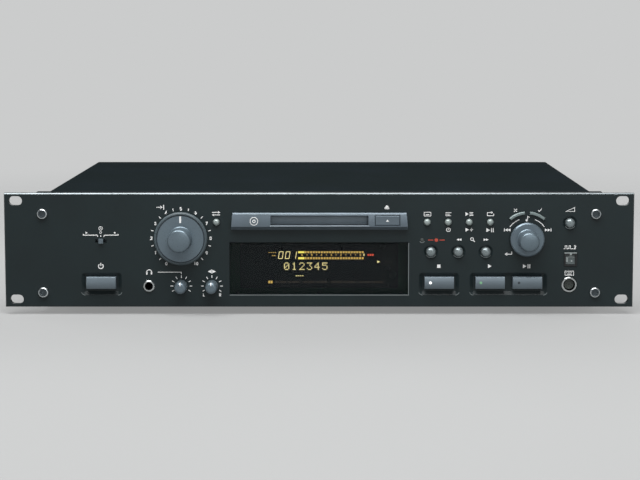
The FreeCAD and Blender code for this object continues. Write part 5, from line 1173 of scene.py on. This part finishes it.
@dataclass
class TurnedDial:
    """A dial turned from one piece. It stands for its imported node, and its grip has a crowned face."""

    name: str
    body: str
    finish: Finish
    radius: float
    grip: float
    groove: float | None = None
    groove_half: float = 0.55
    groove_slope: float = 0.15
    shaft: float = 3.0
    shaft_end: float = 16.0
    rear: float = -1.4
    front: float = DIAL_FACE
    reach: float = -18.0
    bevel: float = 0.9
    foot: float = 0.5
    taper: float = 0.2
    edge: float = 2.2
    crown: float = 0.7
    steps: int = 9
    segments: int = 128
    crease: float = 35.0

    def outline(self) -> list[Point]:
        """Works out the turned outline, from the axis behind the panel to the axis in front.

        Returns:
            Depths and radii in millimetres.
        """
        points = [(self.shaft_end, 0.0), (self.shaft_end, self.shaft), (self.rear, self.shaft),
                  (self.rear, self.radius), (self.front + self.bevel, self.radius),
                  (self.front, self.radius - self.bevel)]
        if self.groove is not None:
            half, floor = self.groove_half, self.groove_half - self.groove_slope
            points += [(self.front, self.groove + half), (self.front + GROOVE_DEEP, self.groove + floor),
                       (self.front + GROOVE_DEEP, self.groove - floor), (self.front, self.groove - half)]
        points += [(self.front, self.grip + self.foot), (self.front - self.foot, self.grip)]
        side = self.grip - self.taper
        tilt = math.atan(2 * self.crown / (side - self.edge))
        face = side - self.edge * (1 - math.sin(tilt))
        middle_in, middle_out = self.reach + self.crown + self.edge * math.cos(tilt), side - self.edge
        for step in range(self.steps):
            turn = math.pi / 2 + (tilt - math.pi / 2) * step / (self.steps - 1)
            points.append((middle_in - self.edge * math.cos(turn), middle_out + self.edge * math.sin(turn)))
        for step in range(1, self.steps):
            share = 1 - step / (self.steps - 1)
            points.append((self.reach + self.crown * share ** 2, face * share))
        return points

    def build(self) -> None:
        """Turns the outline around the dial's axis."""
        x, z = middle(self.name)
        verts, rings, faces = [], [], []
        for depth, radius in self.outline():
            count = self.segments if radius > NEAR else 1
            rings.append((len(verts), count))
            for place in range(count):
                turn = math.tau * place / self.segments
                verts.append(row_place(x + radius * math.cos(turn), depth, z + radius * math.sin(turn)))
        for (first, count), (second, after) in zip(rings, rings[1:]):
            for place in range(self.segments):
                ahead = (place + 1) % self.segments
                corners = [first + place % count, first + ahead % count,
                           second + ahead % after, second + place % after]
                faces.append(list(dict.fromkeys(corners)))
        piece = settle(self.name + "_turned", verts, faces, self.finish, self.body)
        soften(piece, self.crease)
        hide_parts(self.name)


@dataclass
class CrownedSkin:
    """A skin over a flat face, a few tenths of a millimetre thick and bowed from its foot to its head."""

    name: str
    body: str
    finish: Finish
    box: Span
    face: float
    rise: float = 0.5
    taper: float = 0.0
    apex: float = 0.5
    lip: float = 0.0
    lip_rise: float = 0.6
    lip_end: float = 0.4
    lip_clear: float = 0.2
    openings: tuple[Span, ...] = ()
    rows: int = 16
    sunk: float = 0.05
    crease: float = 28.0

    def breaks(self, axis: int, extra: list[float]) -> list[float]:
        """Lists the places of the grid's lines along one axis.

        Args:
            axis: 0 for across, 1 for up.
            extra: More places.

        Returns:
            The places, from the lowest.
        """
        spots = {spot for span in (self.box, *self.openings) for spot in span[axis::2]}
        return sorted(spots.union(extra))

    def depth(self, x: float, z: float) -> float:
        """Works out how deep the skin's front lies at a place.

        Args:
            x: The place across.
            z: The place up.

        Returns:
            The depth from the panel, which is negative in front of it.
        """
        share = (z - self.box[1]) / (self.box[3] - self.box[1])
        far = max(self.apex, 1 - self.apex)
        deep = self.face - self.rise * (1 - ((share - self.apex) / far) ** 2)
        if self.lip:
            low, base, high = self.openings[0][:3]
            if abs(z - base + self.lip) < NEAR and low - NEAR < x < high + NEAR:
                deep -= self.lip_rise
        return deep

    def build(self) -> None:
        """Builds the skin as a closed mesh."""
        left, foot, right, head = self.box
        rows, ends = [foot + (head - foot) * row / self.rows for row in range(1, self.rows)], []
        if self.lip:
            low, base, high, _ = self.openings[0]
            rows = [z for z in rows if not base - self.lip - self.lip_clear < z < base] + [base - self.lip]
            ends = [low - self.lip_end, high + self.lip_end]
        xs, zs = self.breaks(0, ends), self.breaks(1, rows)
        filled = {(i, j) for i in range(len(xs) - 1) for j in range(len(zs) - 1)
                  if not any(a < (xs[i] + xs[i + 1]) / 2 < c and b < (zs[j] + zs[j + 1]) / 2 < d
                             for a, b, c, d in self.openings)}
        verts, faces = [], []

        def add_face(*corners: tuple[tuple[int, int], bool]) -> None:
            """Adds a face by its corners' places in the grid, each with True at the skin's back."""
            first = len(verts)
            faces.append([first + place for place in range(len(corners))])
            for (i, j), behind in corners:
                x, z = xs[i], zs[j]
                y = self.face + self.sunk if behind else self.depth(x, z)
                if x in (left, right):
                    x += (self.taper if x == left else -self.taper) * (z - foot) / (head - foot)
                verts.append(row_place(x, y, z))

        for i, j in sorted(filled):
            ring = ((i, j), (i + 1, j), (i + 1, j + 1), (i, j + 1))
            add_face(*[(spot, False) for spot in ring])
            add_face(*[(spot, True) for spot in reversed(ring)])
            beside = ((i, j - 1), (i + 1, j), (i, j + 1), (i - 1, j))
            for side, (start, end) in enumerate(zip(ring, ring[1:] + ring[:1])):
                if beside[side] not in filled:
                    add_face((start, True), (end, True), (end, False), (start, False))
        soften(settle(self.name, verts, faces, self.finish, self.body), self.crease)


@dataclass
class Deck:
    """The whole deck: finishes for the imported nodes, then the pieces that dress them."""

    dials: tuple[TurnedDial, ...] = (
        TurnedDial("input_knob", "input_knob", INPUT_DIAL, radius=20.4, grip=9.1, groove=18.2),
        TurnedDial("track_knob", "track_dial", KNOBS, radius=13.0, grip=7.7))
    skins: tuple[CrownedSkin, ...] = (
        CrownedSkin("slot_bezel_skin", "deck", BEZEL, (-67.1, 62.65, 67.8, 72.15), -3.0, 1.0, taper=0.75,
                    apex=0.2, lip=0.5, openings=((-37.05, 63.6, 37.75, 71.2), (42.35, 63.1, 62.25, 71.7))),
        CrownedSkin("slot_door_skin", "slot_door", DOOR, (-36.75, 64.2, 37.45, 71.0), 2.1))

    def finish_nodes(self) -> None:
        """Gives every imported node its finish."""
        for finish, names in NODE_FINISH.items():
            material = finish.material()
            for name in names.split():
                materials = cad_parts[name].data.materials
                materials.clear()
                materials.append(material)
                LOG.info("%s: %s", name, finish.name)

    def build(self) -> None:
        """Dresses the nodes and builds each group of pieces."""
        self.finish_nodes()
        for group in (PanelPrint(), RED_PRINT, Display(), *KEY_TRIM, BentPointer("phones_knob"),
                      BentPointer("balance_knob"), *SOCKET_TRIM, RimHighlights(), *self.dials, *self.skins):
            group.build()


def add_seen(tree: Tree) -> Socket:
    """Adds a value that is 1 for what the camera sees, straight, mirrored or through glass.

    Args:
        tree: The node tree.

    Returns:
        The value's socket.
    """
    rays = add_node(tree, "LightPath").outputs
    total = rays["Is Camera Ray"]
    for kind in ("Is Glossy Ray", "Is Transmission Ray"):
        total = add_node(tree, "Math", {"operation": "MAXIMUM"}, {0: total, 1: rays[kind]}).outputs["Value"]
    return total


@dataclass
class Studio:
    """The pale floor, the soft lights, the world and the camera."""

    backdrop: str = "#cbcccc"
    side_sky: str = "#a8acae"
    overhead: str = "#2a2c2e"
    floor_colour: str = "#9c9d9d"
    bounce_colour: str = "#585a5a"
    floor_radius: float = 9.0
    fade_near: float = 0.5
    fade_far: float = 1.1
    veil: float = 0.4
    world_strength: float = 0.21
    target: Place = (0.0, 0.0, 0.05)
    softboxes: tuple[tuple[str, Place, Point, float], ...] = (
        ("key_softbox", (-0.15, -0.6, 1.3), (1.6, 0.8), 34.0),
        ("front_softbox", (0.5, -1.7, 0.75), (1.4, 0.9), 5.5),
        ("rear_softbox", (0.3, 1.3, 0.9), (1.4, 0.8), 9.0),
        ("left_softbox", (-1.7, 0.7, 0.45), (1.0, 0.6), 14.0),
        ("right_softbox", (1.7, 0.7, 0.45), (1.0, 0.6), 14.0))
    camera_place: Place = (0.0109, -1.2397, 0.2256)
    camera_pitch: float = -4.866
    lens: float = 81.57
    shift: Point = (-0.0208, -0.15)

    def build(self) -> None:
        """Builds the studio."""
        self.build_floor()
        self.build_world()
        for softbox in self.softboxes:
            self.add_light(*softbox)
        self.build_camera()

    def build_floor(self) -> None:
        """Builds the round floor that the deck's feet stand on, which runs out into the backdrop's tone."""
        form = bmesh.new()
        bmesh.ops.create_circle(form, cap_ends=True, segments=96, radius=self.floor_radius)
        data = bpy.data.meshes.new("floor")
        form.to_mesh(data)
        form.free()
        material, tree, place = start_material("paper_matt")
        seen = add_seen(tree)
        cloud = add_node(tree, "TexNoise", {"Scale": 3.0}, {"Vector": place}).outputs["Fac"]
        pale = ramp(tree, cloud, {0.3: shade(self.floor_colour, 0.99), 0.7: self.floor_colour})
        colour = add_node(tree, "Mix", {"data_type": "RGBA", 6: linear(self.bounce_colour)},
                          {0: seen, 7: pale}).outputs[2]
        paper = add_node(tree, "BsdfPrincipled", {"Roughness": 0.9, "Specular IOR Level": 0.2},
                         {"Base Color": colour})
        even = add_node(tree, "Emission", {"Color": linear(self.backdrop)})
        away = add_node(tree, "VectorMath", {"operation": "LENGTH"}, {0: place}).outputs["Value"]
        fade = add_node(tree, "MapRange", {
            "interpolation_type": "SMOOTHSTEP", "From Min": self.fade_near, "From Max": self.fade_far},
            {"Value": away}).outputs["Result"]
        share = add_node(tree, "Math", {"operation": "MULTIPLY"}, {0: fade, 1: seen}).outputs["Value"]
        veil = add_node(tree, "MapRange", {"To Min": self.veil}, {"Value": share}).outputs["Result"]
        veiled = add_node(tree, "Math", {"operation": "MULTIPLY"}, {0: veil, 1: seen}).outputs["Value"]
        mixed = add_node(tree, "MixShader", links={
            0: veiled, 1: paper.outputs["BSDF"], 2: even.outputs["Emission"]})
        add_node(tree, "OutputMaterial", links={"Surface": mixed.outputs["Shader"]})
        data.materials.append(material)
        place_object("floor", data)

    def build_world(self) -> None:
        """Builds the world: a pale backdrop that darkens overhead, and an even dome of soft light."""
        world = bpy.data.worlds.new("studio")
        bpy.context.scene.world = world
        world.use_nodes = True
        tree = world.node_tree
        tree.nodes.clear()
        view = add_node(tree, "TexCoord").outputs["Generated"]
        height = add_node(tree, "SeparateXYZ", links={"Vector": view}).outputs["Z"]
        sky = ramp(tree, height, {0.03: self.backdrop, 0.16: self.side_sky, 0.5: self.overhead}, "EASE")
        pale = add_node(tree, "Background", {"Strength": 1.0}, {"Color": sky})
        dome = add_node(tree, "Background", {"Color": (1, 1, 1, 1), "Strength": self.world_strength})
        mixed = add_node(tree, "MixShader", links={
            0: add_seen(tree), 1: dome.outputs["Background"], 2: pale.outputs["Background"]})
        add_node(tree, "OutputWorld", links={"Surface": mixed.outputs["Shader"]})

    def add_light(self, name: str, place: Place, size: Point, power: float) -> None:
        """Adds a soft rectangular light that points at the deck.

        Args:
            name: The light's name.
            place: Where it hangs, in metres.
            size: Its width and height in metres.
            power: Its power in watts.
        """
        lamp = bpy.data.lights.new(name, "AREA")
        lamp.shape, lamp.size, lamp.size_y, lamp.energy = "RECTANGLE", *size, power
        aim = Vector(self.target) - Vector(place)
        place_object(name, lamp, place, aim.to_track_quat("-Z", "Y").to_euler())

    def build_camera(self) -> None:
        """Builds the camera in front of the panel, a little above it."""
        lens = bpy.data.cameras.new("camera")
        lens.lens, lens.sensor_width = self.lens, 36.0
        lens.shift_x, lens.shift_y = self.shift
        turn = (math.radians(90 + self.camera_pitch), 0.0, 0.0)
        bpy.context.scene.camera = place_object("camera", lens, self.camera_place, turn)


def main() -> None:
    """Builds the studio and the deck."""
    logging.basicConfig(level=logging.INFO, format="%(message)s")
    bpy.context.scene.view_settings.view_transform = "Standard"
    for group in (Studio(), Deck()):
        group.build()
        LOG.info("built %s", type(group).__name__)


if __name__ == "__main__":
    main()
